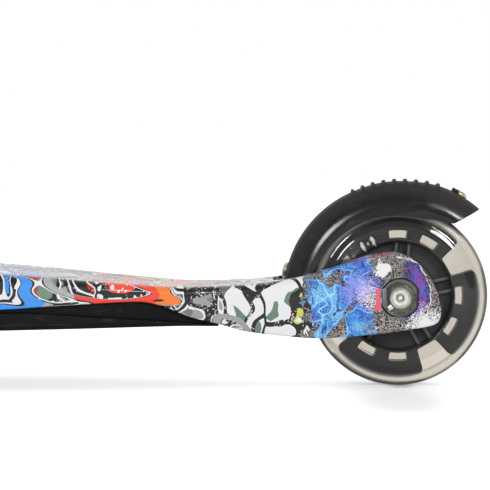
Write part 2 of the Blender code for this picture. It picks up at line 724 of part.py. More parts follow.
def slot_outline():
    front = REAR_AXLE_X + SLOT_FRONT
    back = REAR_AXLE_X + DECK_END + SLOT_ROUND
    corner = arc(SLOT_ROUND, math.pi, math.pi / 2, 6, (front + SLOT_ROUND, SLOT_HALF_WIDTH - SLOT_ROUND))
    right = corner + [(back, SLOT_HALF_WIDTH)]
    return right + [(x, -y) for x, y in reversed(right)]


def insert_outline(grow=0.0):
    """A round insert with flats ahead, behind and below."""
    radius = INSERT_RADIUS + grow
    lean = math.acos((INSERT_FLAT + grow) / radius)
    points = arc(radius, lean, math.pi - lean, 11)
    points += arc(radius, math.pi + lean, 1.5 * math.pi - lean, 4)
    return points + arc(radius, 1.5 * math.pi + lean, 2 * math.pi - lean, 4)


def groove_boxes():
    """Short grip grooves across the deck, left and right of its flat middle."""
    top = DECK_TOP_Z
    boxes = []
    for row in range(GROOVE_ROWS):
        x = REAR_AXLE_X + GROOVE_FIRST - row * GROOVE_PITCH
        for side in (-1, 1):
            ends = sorted((side * GROOVE_FROM_MIDDLE, side * (GROOVE_FROM_MIDDLE + GROOVE_LENGTH)))
            low = (x - GROOVE_WIDTH / 2, ends[0], top - GROOVE_DEPTH)
            boxes.append(box(low, (x + GROOVE_WIDTH / 2, ends[1], top + GROOVE_DEPTH)))
    return merged(boxes, "grooves")


def deck(build):
    shell = build.add("deck_shell", loft([deck_ring(d) for d in deck_stations()]), build.print)
    tall = 3 * REAR_WHEEL_RADIUS
    cut(shell, build.add("wheel_slot", prism([slot_outline()], 0, tall), None))
    axle = Vector((REAR_AXLE_X, 0, REAR_AXLE_Z))
    for label, side in SIDES:
        low, high = SLOT_HALF_WIDTH - RUNNING_GAP, 2 * SLOT_HALF_WIDTH
        hole = prism([mirrored(insert_outline(FIT), side)], low, high)
        cut(shell, build.add(f"insert_hole_{label}", hole, None, axle, sided(side)))
    near = -SLOT_HALF_WIDTH - HINGE_PIN_BLIND
    seat = hinge_seat()
    far = seat + SLOT_HALF_WIDTH
    pin_room = turned([(0, far), (HINGE_HEAD_RADIUS + FIT, far), (HINGE_HEAD_RADIUS + FIT, seat),
                       (HINGE_PIN_RADIUS + FIT, seat), (HINGE_PIN_RADIUS + FIT, near), (0, near)], 16)
    cut(shell, build.add("hinge_pin_room", pin_room, None, (HINGE_X, 0, HINGE_Z), ALONG_Y))
    cut(shell, build.add("grip_grooves", groove_boxes(), None))
    screw_holes = []
    for d, y in PAN_SCREWS:
        base = REAR_AXLE_Z + between(DECK_BOTTOM, d)
        hole = cylinder(SCREW_RADIUS + FIT, 2 * (SCREW_GRIP + FIT), 8)
        screw_holes.append(moved(hole, (REAR_AXLE_X + d, y, base)))
    for label, side in SIDES:
        hole = cylinder(SCREW_RADIUS + FIT, 2 * (SCREW_GRIP + FIT), 8)
        place = (FRONT_AXLE_X + HEAD_SCREW_BEHIND, side * HEAD_SCREW_SPREAD, DECK_TOP_Z)
        screw_holes.append(moved(hole, place))
    cut(shell, build.add("deck_screw_holes", merged(screw_holes, "holes"), None))


def hinge_seat():
    """Where the hinge pin's head sits in the far arm."""
    return deck_half_width(-HINGE_AHEAD) - HINGE_EDGE - HINGE_HEAD_HEIGHT


def mirrored(points, side):
    """An outline as it is on the left side, or turned over for the right side, whose local Y points down."""
    return points if side < 0 else [(x, -y) for x, y in points]


def pan_ring(d):
    """The belly pan's section: a sunk upper wall over a proud, rounded tray."""
    x = REAR_AXLE_X + d
    wall = deck_half_width(d) - PAN_INSET
    lip = wall + PAN_LIP
    top = REAR_AXLE_Z + between(DECK_BOTTOM, d) - FIT
    edge = REAR_AXLE_Z + between(PAN_LIP_TOP, d)
    bottom = REAR_AXLE_Z + between(PAN_BOTTOM, d)
    turn = min(PAN_ROUND, 0.6 * (edge - bottom))
    side = [(wall, top), (wall, edge)] + arc(turn, 0, -math.pi / 2, 3, (lip - turn, bottom + turn))
    return [(x, y, z) for y, z in side] + [(x, -y, z) for y, z in reversed(side)]


def screw_mesh(grip, head_radius=SCREW_HEAD_RADIUS, head_height=SCREW_HEAD_HEIGHT, radius=SCREW_RADIUS):
    """A screw with its head's underside at local zero: the head above, the shank below, a hexagonal recess."""
    crown = head_height * 0.4
    profile = [(0, head_height), (head_radius * 0.7, head_height), (head_radius, crown), (head_radius, 0),
               (radius, 0), (radius, -grip), (0, -grip)]
    return turned(profile, 8)


def belly_pan(build):
    first, last = PAN_BOTTOM[0][0], PAN_BOTTOM[-1][0]
    places = [first] + [d for d in deck_stations() if first < d < last] + [last]
    pan = build.add("belly_pan", loft([pan_ring(d) for d in places]), build.black)
    holes = []
    for index, (d, y) in enumerate(PAN_SCREWS):
        x = REAR_AXLE_X + d
        bottom = REAR_AXLE_Z + between(PAN_BOTTOM, d)
        seat = bottom + SCREW_HEAD_HEIGHT + FIT
        reach = REAR_AXLE_Z + between(DECK_BOTTOM, d) + SCREW_GRIP - seat
        holes.append(moved(cylinder(SCREW_RADIUS + FIT, REAR_WHEEL_RADIUS, 8), (x, y, seat)))
        sink = cylinder(SCREW_HEAD_RADIUS + FIT, 2 * SCREW_HEAD_HEIGHT, 10)
        sink = moved(sink, (x, y, seat - SCREW_HEAD_HEIGHT))
        cut(pan, build.add(f"pan_screw_sink_{index + 1}", sink, None))
        build.add(f"pan_screw_{index + 1}", screw_mesh(reach), build.steel, (x, y, seat - FIT), UPSIDE_DOWN)
    cut(pan, build.add("pan_screw_holes", merged(holes, "holes"), None))


# Rear axle

def bolt_mesh():
    """The axle bolt's shank, with a low domed head that holds a hexagonal key."""
    seat = INSERT_FACE - INSERT_POCKET_DEPTH + FIT
    height = BOLT_HEAD_HEIGHT
    radius = BOLT_HEAD_RADIUS
    end = -(seat + NUT_HEIGHT)
    return turned([(0, seat + height), (0.45 * radius, seat + 0.97 * height),
                   (0.8 * radius, seat + 0.72 * height), (radius, seat + 0.3 * height), (radius, seat),
                   (AXLE_RADIUS, seat), (AXLE_RADIUS, end), (0, end)],
                  16)


def nut_mesh(across_flats, height, bore):
    return prism([hexagon(across_flats), circle(bore, 16)], 0, height)


def rear_axle(build):
    axle = Vector((REAR_AXLE_X, 0, REAR_AXLE_Z))
    seat = INSERT_FACE - INSERT_POCKET_DEPTH
    for label, side in SIDES:
        outline = mirrored(insert_outline(), side)
        insert = build.add(f"axle_insert_{label}", prism([outline], SLOT_HALF_WIDTH, INSERT_FACE), build.black,
                           axle, sided(side))
        pocket = turned([(0, 2 * INSERT_FACE), (INSERT_POCKET_RADIUS, 2 * INSERT_FACE),
                         (INSERT_POCKET_RADIUS, seat), (AXLE_RADIUS + FIT, seat), (AXLE_RADIUS + FIT, 0),
                         (0, 0)], 16)
        cut(insert, build.add(f"insert_pocket_{label}", pocket, None, axle, sided(side)))
        low, high = BEARING_FACE + FIT, SLOT_HALF_WIDTH - FIT
        place = axle + Vector((0, side * (low + high) / 2, 0))
        build.add(f"rear_spacer_{label}", tube(SPACER_RADIUS, AXLE_RADIUS + FIT, high - low, 12), build.alloy,
                  place, sided(side))
    bolt = build.add("rear_axle_bolt", bolt_mesh(), build.steel, axle, TO_CAMERA)
    key = moved(prism([hexagon(HEX_KEY)], 0, BOLT_HEAD_HEIGHT), (0, 0, seat + BOLT_HEAD_HEIGHT / 2))
    cut(bolt, build.add("bolt_key", key, None, axle, TO_CAMERA))
    build.add("rear_axle_nut", nut_mesh(NUT_ACROSS_FLATS, NUT_HEIGHT, AXLE_RADIUS + FIT), build.steel,
              axle + Vector((0, seat + FIT, 0)), ALONG_Y)


# Fender brake

def radial(angle, distance, across=0.0):
    """A place about the rear axle: degrees, distance from it, and distance from the middle."""
    turn = math.radians(angle)
    return Vector((REAR_AXLE_X + distance * math.cos(turn), across, REAR_AXLE_Z + distance * math.sin(turn)))


def fender_ring(angle, rise=0.0):
    """The fender's channel section, with its crown raised by a bar."""
    crown = between(FENDER_CROWN, angle)
    half, across, down, wall = FENDER_HALF_WIDTH, FENDER_ROUND_ACROSS, FENDER_ROUND_DOWN, FENDER_WALL
    outer = [(half, FENDER_ROOT)]
    for turn in (0, math.radians(30), math.radians(53), math.radians(72), math.pi / 2):
        place = crown - down + (down + rise * math.sin(turn) ** 3) * math.sin(turn)
        outer.append((half - across + across * math.cos(turn), place))
    inner = []
    for turn in (math.pi / 2, math.radians(60), math.radians(30), 0):
        place = crown - down + (down - wall) * math.sin(turn)
        inner.append((half - across + (across - wall) * math.cos(turn), place))
    inner.append((half - wall, FENDER_ROOT))
    side = outer + [(0, crown + rise + FENDER_CAMBER)]
    points = side + [(-y, r) for y, r in reversed(outer)]
    points += [(-y, r) for y, r in reversed(inner)] + inner
    return [radial(angle, r, y) for y, r in points]


def fender_stations():
    """Angles along the fender with the rise at each: three for a bar, and a wider step elsewhere."""
    first, last = FENDER_CROWN[0][0], FENDER_CROWN[-1][0]
    bars = [BAR_FIRST + i * BAR_PITCH for i in range(BAR_COUNT)]
    stations = []
    for bar in bars:
        stations += [(bar - BAR_FOOT, 0), (bar, BAR_HEIGHT), (bar + BAR_FOOT, 0)]
    low, high = stations[0][0], stations[-1][0]
    before = math.ceil((low - first) / FENDER_STEP)
    after = math.ceil((last - high) / FENDER_STEP)
    stations += [(first + (low - first) * i / before, 0) for i in range(before)]
    stations += [(high + (last - high) * (i + 1) / after, 0) for i in range(after)]
    return sorted(stations)


def fender_side_outline():
    """The fender as seen from the side, about the rear axle: skirt edge, open outside, slanted tail."""
    first, last = FENDER_SKIRT[0][0], FENDER_SKIRT[-1][0]
    points = []
    for i in range(SKIRT_POINTS):
        angle = first + (last - first) * i / (SKIRT_POINTS - 1)
        reach = between(FENDER_SKIRT, angle)
        points.append((reach * math.cos(math.radians(angle)), reach * math.sin(math.radians(angle))))
    outside = 1.3 * FENDER_CROWN[0][1]
    points += arc(outside, math.radians(last), math.radians(first), 8)
    corner, tip = Vector(points[0]), Vector(FENDER_TIP)
    points.append(tuple(tip + (tip - corner)))
    return points


def screw_turn(angle):
    """The turn that points local Z away from the rear axle at an angle in degrees."""
    return Matrix.Rotation(math.radians(90 - angle), 3, "Y")


def pad_ring(angle):
    """The brake pad's section, under the fender's crown."""
    outer = between(FENDER_CROWN, angle) - FENDER_WALL - FIT
    inner = outer - PAD_THICKNESS
    half, bevel = PAD_HALF_WIDTH, PAD_THICKNESS / 2
    side = ((half, inner), (half, outer - bevel), (half - bevel, outer))
    corners = side + tuple((-y, r) for y, r in reversed(side))
    return [radial(angle, r, y) for y, r in corners]


def coil(radius, pitch, turns, start=0.0):
    """Points of a helix about Z, centred on its middle."""
    count = round(turns * COIL_POINTS)
    height = pitch * turns
    points = []
    for i in range(count + 1):
        turn = start + 2 * math.pi * turns * i / count
        rise = height * i / count - height / 2
        points.append(Vector((radius * math.cos(turn), radius * math.sin(turn), rise)))
    return points


def print_least_gap(name, points, radius):
    """Prints the least gap between a wound wire's turns, past half a turn along it."""
    apart = COIL_POINTS // 2
    gap = min((a - b).length for i, a in enumerate(points) for b in points[i + apart:]) - 2 * radius
    print(f"{name}: least gap to itself {gap * 1000:.2f} mm")


def brake(build):
    hinge = Vector((HINGE_X, 0, HINGE_Z))
    seat, near = hinge_seat() + FIT, -SLOT_HALF_WIDTH - HINGE_PIN_BLIND + FIT
    top = seat + HINGE_HEAD_HEIGHT
    pin = turned([(0, top), (0.8 * HINGE_HEAD_RADIUS, top), (HINGE_HEAD_RADIUS, top - 0.5 * HINGE_HEAD_HEIGHT),
                  (HINGE_HEAD_RADIUS, seat), (HINGE_PIN_RADIUS, seat), (HINGE_PIN_RADIUS, near),
                  (0, near)], 16)
    build.add("hinge_pin", pin, build.steel, hinge, ALONG_Y)

    build.pivot("brake_hinge", hinge)
    axle = (REAR_AXLE_X, 0, REAR_AXLE_Z)
    skin = loft([fender_ring(angle, rise) for angle, rise in fender_stations()], smooth=40)
    fender = build.add("fender", skin, build.black)
    side_cutter = prism([fender_side_outline()], -2 * FENDER_HALF_WIDTH, 2 * FENDER_HALF_WIDTH)
    trim = build.add("fender_trim", side_cutter, None, axle, TO_CAMERA)
    boolean(fender, trim, "INTERSECT")
    middle = (LUG_INNER + FENDER_HALF_WIDTH) / 2
    for label, side in SIDES:
        lug = moved(cylinder(LUG_RADIUS, FENDER_HALF_WIDTH - LUG_INNER, 24), (0, 0, middle))
        join(fender, build.add(f"fender_lug_{label}", lug, None, hinge, sided(side)))
    bore = cylinder(HINGE_PIN_RADIUS + FIT, 4 * FENDER_HALF_WIDTH, 16)
    cut(fender, build.add("fender_bore", bore, None, hinge, ALONG_Y))

    angles = [angle for angle, rise in fender_stations() if PAD_FROM <= angle <= PAD_TO]
    pad = build.add("brake_pad", loft([pad_ring(angle) for angle in angles]), build.steel)
    for label, angle in zip(("rear", "front"), FENDER_SCREWS):
        crown = between(FENDER_CROWN, angle)
        held = PAD_THICKNESS if PAD_FROM < angle < PAD_TO else 0
        place = radial(angle, crown + FENDER_CAMBER + FIT)
        grip = FENDER_CAMBER + FENDER_WALL + FIT + 0.8 * held
        hole = build.add(f"fender_screw_hole_{label}", cylinder(SCREW_RADIUS + FIT, 3 * grip, 12), None, place,
                         screw_turn(angle))
        cut(fender, hole)
        if held:
            cut(pad, hole)
        mesh = screw_mesh(grip, FENDER_SCREW_RADIUS, FENDER_SCREW_HEIGHT)
        build.add(f"fender_screw_{label}", mesh, build.steel, place, screw_turn(angle))

    build.fixed()
    turns = SPRING_TURNS + 0.25
    half = SPRING_PITCH * turns / 2
    front_leg = Vector((SLOT_FRONT + HINGE_AHEAD + SPRING_WIRE + FIT, -SPRING_RADIUS, -half))
    wall = -math.sqrt((FENDER_CROWN[-1][1] - FENDER_WALL) ** 2 - (SPRING_LEG - HINGE_DROP) ** 2) + HINGE_AHEAD
    top_leg = Vector((wall + SPRING_WIRE + FIT, SPRING_LEG, half))
    wound = coil(SPRING_RADIUS, SPRING_PITCH, turns, -math.pi / 2)
    print_least_gap("brake_spring", wound, SPRING_WIRE)
    spring = wire([front_leg] + wound + [top_leg], SPRING_WIRE)
    build.add("brake_spring", spring, build.steel, hinge, TO_CAMERA)


# Steering head

def head_ring(d):
    """The steering head's section at a distance behind the front axle."""
    x = FRONT_AXLE_X + d
    half = between(HEAD_HALF_WIDTH, d)
    top = ROOF_Z + HEAD_ROOF + between(HEAD_CREST, d)
    bottom = DECK_TOP_Z + FIT
    shoulder = min(HEAD_SHOULDER, 0.7 * (top - bottom))
    side = arc(shoulder, math.pi / 2, 0, 4, (half - shoulder, top - shoulder)) + [(half, bottom)]
    return [(x, y, z) for y, z in side] + [(x, -y, z) for y, z in reversed(side)]


def boss_radius(distance):
    share = (distance + BOSS_ROOT) / (BOSS_LENGTH + BOSS_ROOT)
    return BOSS_RADIUS + BOSS_FLARE * (1 - share)


def steering_head(build):
    first, last = HEAD_CREST[0][0], HEAD_CREST[-1][0]
    places = [first + (last - first) * i / (HEAD_STATIONS - 1) for i in range(HEAD_STATIONS)]
    head = build.add("steering_head", loft([head_ring(d) for d in places]), build.black)
    boss = moved(cylinder(boss_radius(-BOSS_ROOT), BOSS_LENGTH + BOSS_ROOT, 24, BOSS_RADIUS, centred=False),
                 (0, 0, -BOSS_ROOT))
    join(head, build.add("boss", boss, None, COLUMN_FOOT, RAKED))
    wide, widest = 2 * KINGPIN_SPREAD, max(half for d, half in HEAD_HALF_WIDTH)
    bay = box((FRONT_AXLE_X - BAY_HALF_LENGTH, -wide, 0), (FRONT_AXLE_X + BAY_HALF_LENGTH, wide, ROOF_Z))
    cut(head, build.add("truck_bay", bay, None))
    reach = BAY_HALF_LENGTH + EAR_THICKNESS
    for label, side in SIDES:
        flank = ((EAR_HALF_WIDTH, 0), (EAR_HALF_WIDTH, PIVOT_Z), (widest, ROOF_Z), (wide, ROOF_Z), (wide, 0))
        tool = prism([[(side * y, z) for y, z in flank]], -2 * reach, reach)
        cut(head, build.add(f"ear_flank_{label}", tool, None, (FRONT_AXLE_X, 0, 0), CROSSWISE))
        peg = cylinder(PEG_RADIUS, 2 * PEG_HEIGHT, 8)
        place = (FRONT_AXLE_X, side * LEAN_SPRING_SPREAD, ROOF_Z)
        join(head, build.add(f"roof_peg_{label}", peg, None, place))
    socket = cylinder(TUBE_RADIUS + FIT, 2 * BOSS_LENGTH, 24, centred=False)
    cut(head, build.add("socket", socket, None, COLUMN_FOOT, RAKED))
    hole = rod((0, 0, BUTTON_UP), (-2 * BOSS_RADIUS, 0, BUTTON_UP), BUTTON_RADIUS + FIT, 12)
    cut(head, build.add("button_hole", hole, None, COLUMN_FOOT, RAKED))
    thumb = rod((-THUMB_DEPTH, 0, BUTTON_UP), (-2 * BOSS_RADIUS, 0, BUTTON_UP), THUMB_RADIUS, 14)
    cut(head, build.add("thumb_recess", thumb, None, COLUMN_FOOT, RAKED))
    bore = rod((-2 * reach, 0, 0), (BAY_HALF_LENGTH + PIVOT_BLIND + FIT, 0, 0), PIVOT_RADIUS + FIT, 14)
    cut(head, build.add("pivot_bore", bore, None, (FRONT_AXLE_X, 0, PIVOT_Z)))
    seat = cylinder(DRIVE_STEM_RADIUS + FIT, 2 * (DRIVE_SEAT + FIT), 12)
    cut(head, build.add("drive_seat", seat, None, (FRONT_AXLE_X + ARM_LENGTH, 0, DECK_TOP_Z + FIT)))
    for label, side in SIDES:
        place = Vector((FRONT_AXLE_X + HEAD_SCREW_BEHIND, side * HEAD_SCREW_SPREAD,
                        DECK_TOP_Z + HEAD_SCREW_SEAT))
        sink = cylinder(SCREW_HEAD_RADIUS + FIT, REAR_WHEEL_RADIUS, 12, centred=False)
        cut(head, build.add(f"head_screw_sink_{label}", sink, None, place))
        through = cylinder(SCREW_RADIUS + FIT, 4 * HEAD_SCREW_SEAT, 8)
        cut(head, build.add(f"head_screw_hole_{label}", through, None, place))
        mesh = screw_mesh(HEAD_SCREW_SEAT + FIT + SCREW_GRIP)
        build.add(f"head_screw_{label}", mesh, build.steel, place + Vector((0, 0, FIT)))

    front = -reach - FIT
    pin = turned([(0, -front + PIVOT_HEAD_HEIGHT), (0.85 * PIVOT_HEAD_RADIUS, -front + PIVOT_HEAD_HEIGHT),
                  (PIVOT_HEAD_RADIUS, -front + 0.8 * PIVOT_HEAD_HEIGHT), (PIVOT_HEAD_RADIUS, -front),
                  (PIVOT_RADIUS, -front), (PIVOT_RADIUS, -BAY_HALF_LENGTH - PIVOT_BLIND),
                  (0, -BAY_HALF_LENGTH - PIVOT_BLIND)], 16)
    build.add("pivot_pin", pin, build.steel, (FRONT_AXLE_X, 0, PIVOT_Z), FORWARD)
    stem_top = DECK_TOP_Z + FIT + DRIVE_SEAT - TIE_Z
    neck = math.acos(DRIVE_STEM_RADIUS / DRIVE_BALL_RADIUS)
    sphere = arc(DRIVE_BALL_RADIUS, neck, -math.pi / 2, 6)[:-1] + [(0, -DRIVE_BALL_RADIUS)]
    drive = turned([(0, stem_top), (DRIVE_STEM_RADIUS, stem_top)] + sphere, 12)
    build.add("drive_pin", drive, build.steel, (FRONT_AXLE_X + ARM_LENGTH, 0, TIE_Z))


# Truck

def rod(start, end, radius, sides=24, end_radius=None):
    """A round bar from one point to another."""
    start, end = Vector(start), Vector(end)
    line = end - start
    mesh = cylinder(radius, line.length, sides, end_radius, centred=False)
    return moved(mesh, start, line.to_track_quat("Z", "Y").to_matrix())


def truck(build):
    pivot = Vector((FRONT_AXLE_X, 0, PIVOT_Z))
    build.pivot("lean_axis", pivot)
    middle = KINGPIN_SPREAD / 2
    top, tip = BEAM_HEIGHT / 2, BEAM_END_HEIGHT / 2
    upper = [(-KINGPIN_SPREAD, tip), (-middle, top), (middle, top), (KINGPIN_SPREAD, tip)]
    outline = upper + [(y, -z) for y, z in reversed(upper)]
    bar = prism([outline], -BEAM_THICKNESS / 2, BEAM_THICKNESS / 2)
    beam = build.add("truck_beam", bar, build.alloy, pivot, CROSSWISE)
    bevel = beam.modifiers.new("edges", "BEVEL")
    bevel.width = BEAM_EDGE
    bevel.segments = 1
    hub = rod((-BAY_HALF_LENGTH + FIT, 0, 0), (BAY_HALF_LENGTH - FIT, 0, 0), BEAM_HUB_RADIUS, 16)
    join(beam, build.add("beam_hub", hub, None, pivot))
    for label, side in SIDES:
        spot = pivot + Vector((0, side * KINGPIN_SPREAD, 0))
        join(beam, build.add(f"beam_boss_{label}", cylinder(KINGPIN_BOSS, BEAM_HEIGHT, 14), None, spot))
        peg = cylinder(PEG_RADIUS, 2 * PEG_HEIGHT, 8)
        place = pivot + Vector((0, side * LEAN_SPRING_SPREAD, top))
        join(beam, build.add(f"beam_peg_{label}", peg, None, place))
        low = spot - Vector((0, 0, top))
        hole = cylinder(KINGPIN_RADIUS + FIT, 2 * (KINGPIN_DEPTH + FIT), 12)
        cut(beam, build.add(f"kingpin_hole_{label}", hole, None, low))
    bore = rod((-2 * BAY_HALF_LENGTH, 0, 0), (2 * BAY_HALF_LENGTH, 0, 0), PIVOT_RADIUS + FIT, 14)
    cut(beam, build.add("beam_bore", bore, None, pivot))

    room = ROOF_Z - PIVOT_Z - top - 2 * FIT
    pitch = (room - 2 * LEAN_SPRING_WIRE) / LEAN_SPRING_TURNS
    wound = coil(LEAN_SPRING_RADIUS, pitch, LEAN_SPRING_TURNS)
    print_least_gap("lean_spring", wound, LEAN_SPRING_WIRE)
    for label, side in SIDES:
        place = pivot + Vector((0, side * LEAN_SPRING_SPREAD, top + FIT + room / 2))
        build.add(f"lean_spring_{label}", wire(wound, LEAN_SPRING_WIRE), build.steel, place)
        foot = FRONT_AXLE_Z - KNUCKLE_BELOW - FIT
        shank = PIVOT_Z - top + KINGPIN_DEPTH - foot
        pin = screw_mesh(shank, KINGPIN_HEAD_RADIUS, KINGPIN_HEAD_HEIGHT, KINGPIN_RADIUS)
        spot = (FRONT_AXLE_X, side * KINGPIN_SPREAD, foot)
        build.add(f"kingpin_{label}", pin, build.steel, spot, UPSIDE_DOWN)
    build.fixed()


def knuckle(build, label, side):
    """A knuckle on its kingpin: upright barrel, stub axle, and the arm that the tie rod turns."""
    x, y = FRONT_AXLE_X, side * KINGPIN_SPREAD
    low = FRONT_AXLE_Z - KNUCKLE_BELOW
    high = PIVOT_Z - BEAM_HEIGHT / 2 - FIT
    build.pivot(f"steer_axis_{label}", (x, y, FRONT_AXLE_Z))
    body = build.add(f"knuckle_{label}", rod((x, y, low), (x, y, high), KNUCKLE_RADIUS, 16), build.black)
    wheel_y = FRONT_TRACK / 2
    flange = side * (wheel_y - BEARING_FACE - FIT)
    end = side * (wheel_y + BEARING_FACE + FIT + NUT_HEIGHT)
    stub = rod((x, y, FRONT_AXLE_Z), (x, flange, FRONT_AXLE_Z), STUB_RADIUS, 14, SPACER_RADIUS)
    join(body, build.add(f"stub_{label}", stub, None))
    axle = rod((x, y, FRONT_AXLE_Z), (x, end, FRONT_AXLE_Z), AXLE_RADIUS, 14)
    join(body, build.add(f"stub_axle_{label}", axle, None))
    round_end = arc(ARM_HALF_WIDTH, math.pi / 2, -math.pi / 2, 7, (ARM_LENGTH, 0))
    arm = prism([[(0, ARM_HALF_WIDTH)] + round_end + [(0, -ARM_HALF_WIDTH)]], low, ARM_TOP_Z)
    join(body, build.add(f"steer_arm_{label}", arm, None, (x, y, 0)))
    pin_top = TIE_Z + TIE_THICKNESS / 2 + RUNNING_GAP
    tip = x + ARM_LENGTH
    pin = rod((tip, y, ARM_TOP_Z - ARM_THICKNESS / 2), (tip, y, pin_top), ARM_PIN_RADIUS, 12)
    join(body, build.add(f"arm_pin_{label}", pin, None))
    bore = rod((x, y, 0), (x, y, 2 * high), KINGPIN_RADIUS + FIT, 16)
    cut(body, build.add(f"knuckle_bore_{label}", bore, None))
    build.fixed()
    centre = Vector((x, side * wheel_y, FRONT_AXLE_Z))
    build.pivot(f"front_wheel_axis_{label}", centre)
    wheel(build, f"front_wheel_{label}", centre, FRONT_WHEEL_RADIUS, FRONT_SIDES, False)
    build.fixed()
    seat = Vector((x, side * (wheel_y + BEARING_FACE + FIT), FRONT_AXLE_Z))
    nut = nut_mesh(NUT_ACROSS_FLATS, NUT_HEIGHT, AXLE_RADIUS + FIT)
    build.add(f"front_axle_nut_{label}", nut, build.steel, seat, sided(side))


def stadium(radius, room, middle=0.0):
    """A hole with round ends, longer along X by the room each way."""
    right = arc(radius, -math.pi / 2, math.pi / 2, 6, (room, middle))
    return right + [(-x, 2 * middle - y) for x, y in right]


def tie_rod(build):
    place = (FRONT_AXLE_X + ARM_LENGTH, 0, TIE_Z)
    build.pivot("tie_rod_middle", place)
    lean = math.asin(TIE_HALF_WIDTH / TIE_EYE_RADIUS)
    step = TIE_PAD - TIE_HALF_WIDTH
    quarter = [(TIE_PAD, TIE_PAD / 2), (TIE_HALF_WIDTH, TIE_PAD / 2 + step)]
    eye = arc(TIE_EYE_RADIUS, lean - math.pi / 2, math.pi / 2, 7, (0, KINGPIN_SPREAD))
    half = quarter + eye[:-1]
    over = half + [eye[-1]] + [(-x, y) for x, y in reversed(half)]
    outline = over + [(-x, -y) for x, y in over]
    loops = [outline, stadium(DRIVE_BALL_RADIUS + FIT, TIE_ARC_ROOM)]
    for side in (-1, 1):
        loops.append(stadium(ARM_PIN_RADIUS + FIT, TIE_ARC_ROOM, side * KINGPIN_SPREAD))
    build.add("tie_rod", prism(loops, -TIE_THICKNESS / 2, TIE_THICKNESS / 2), build.steel, place)
    build.fixed()


# Column and handlebar

def lower_column(build):
    tube_mesh = moved(tube(TUBE_RADIUS, TUBE_RADIUS - TUBE_WALL, TUBE_LENGTH - FIT, 24),
                      (0, 0, (TUBE_LENGTH + FIT) / 2))
    column = build.add("lower_column", tube_mesh, build.alloy, COLUMN_FOOT, RAKED)
    hole = rod((0, 0, BUTTON_UP), (-2 * TUBE_RADIUS, 0, BUTTON_UP), BUTTON_RADIUS + FIT, 12)
    cut(column, build.add("column_button_hole", hole, None, COLUMN_FOOT, RAKED))


def collar_sizes():
    """The collar's outer radius, where its bolt runs, and the lever's hub beside its ear."""
    outer = TUBE_RADIUS + FIT + COLLAR_WALL
    bolt = outer + COLLAR_EAR_LENGTH / 2
    face = COLLAR_SPLIT / 2 + COLLAR_EAR
    hub = -(face + FIT + LEVER_HUB_RADIUS)
    middle = TUBE_LENGTH + COLLAR_ABOVE - COLLAR_HEIGHT / 2
    return outer, bolt, face, hub, middle


def collar(build):
    outer, bolt, face, hub, middle = collar_sizes()
    inner, split = TUBE_RADIUS + FIT, COLLAR_SPLIT / 2
    near, far = math.asin(split / inner), math.asin(face / outer)
    end = outer + COLLAR_EAR_LENGTH
    outline = [(end, split), (end, face)] + arc(outer, far, 2 * math.pi - far, 18)
    outline += [(end, -face), (end, -split)] + arc(inner, 2 * math.pi - near, near, 22)
    ring = prism([outline], middle - COLLAR_HEIGHT / 2, middle + COLLAR_HEIGHT / 2)
    clamp = build.add("column_collar", ring, build.black, COLUMN_FOOT, RAKED)
    through = rod((bolt, -2 * face, middle), (bolt, 2 * face, middle), CLAMP_BOLT_RADIUS + FIT, 16)
    cut(clamp, build.add("collar_bolt_hole", through, None, COLUMN_FOOT, RAKED))

    shank = rod((bolt, hub, middle), (bolt, face + 2 * FIT, middle), CLAMP_BOLT_RADIUS, 16)
    screw = build.add("clamp_bolt", shank, build.steel, COLUMN_FOOT, RAKED)
    under = face + FIT
    head = rod((bolt, under, middle), (bolt, under + CLAMP_HEAD_HEIGHT, middle), CLAMP_HEAD_RADIUS, 16,
               0.85 * CLAMP_HEAD_RADIUS)
    join(screw, build.add("clamp_bolt_head", head, None, COLUMN_FOOT, RAKED))
    eye = moved(cylinder(CLAMP_EYE_RADIUS, CLAMP_EYE_THICKNESS, 20), (bolt, hub, middle))
    join(screw, build.add("clamp_bolt_eye", eye, None, COLUMN_FOOT, RAKED))
    pin_hole = moved(cylinder(CLAMP_PIN_RADIUS + FIT, 2 * LEVER_HEIGHT, 12), (bolt, hub, middle))
    pin_tool = build.add("clamp_pin_hole", pin_hole, None, COLUMN_FOOT, RAKED)
    cut(screw, pin_tool)

    build.pivot("clamp_axis", COLUMN_FOOT + RAKED @ Vector((bolt, hub, middle)))
    low, high = middle - LEVER_HEIGHT / 2, middle + LEVER_HEIGHT / 2
    inside = outer + LEVER_GAP
    start = math.atan2(hub, bolt)
    curve = arc(inside + LEVER_THICKNESS, start, start - LEVER_REACH, 10)
    curve += arc(inside, start - LEVER_REACH, start, 10)
    lever = build.add("clamp_lever", prism([curve], low, high), build.black, COLUMN_FOOT, RAKED)
    barrel = moved(cylinder(LEVER_HUB_RADIUS, LEVER_HEIGHT, 16), (bolt, hub, middle))
    join(lever, build.add("lever_hub", barrel, None, COLUMN_FOOT, RAKED))
    room = CLAMP_EYE_RADIUS + FIT
    half = CLAMP_EYE_THICKNESS / 2 + FIT
    slot = box((bolt - room, hub - 2 * room, middle - half), (bolt + 2 * room, hub + 2 * room, middle + half))
    cut(lever, build.add("lever_slot", slot, None, COLUMN_FOOT, RAKED), pin_tool)
    pin = moved(cylinder(CLAMP_PIN_RADIUS, LEVER_HEIGHT, 12), (bolt, hub, middle))
    build.add("clamp_pin", pin, build.steel, COLUMN_FOOT, RAKED)
    build.fixed()


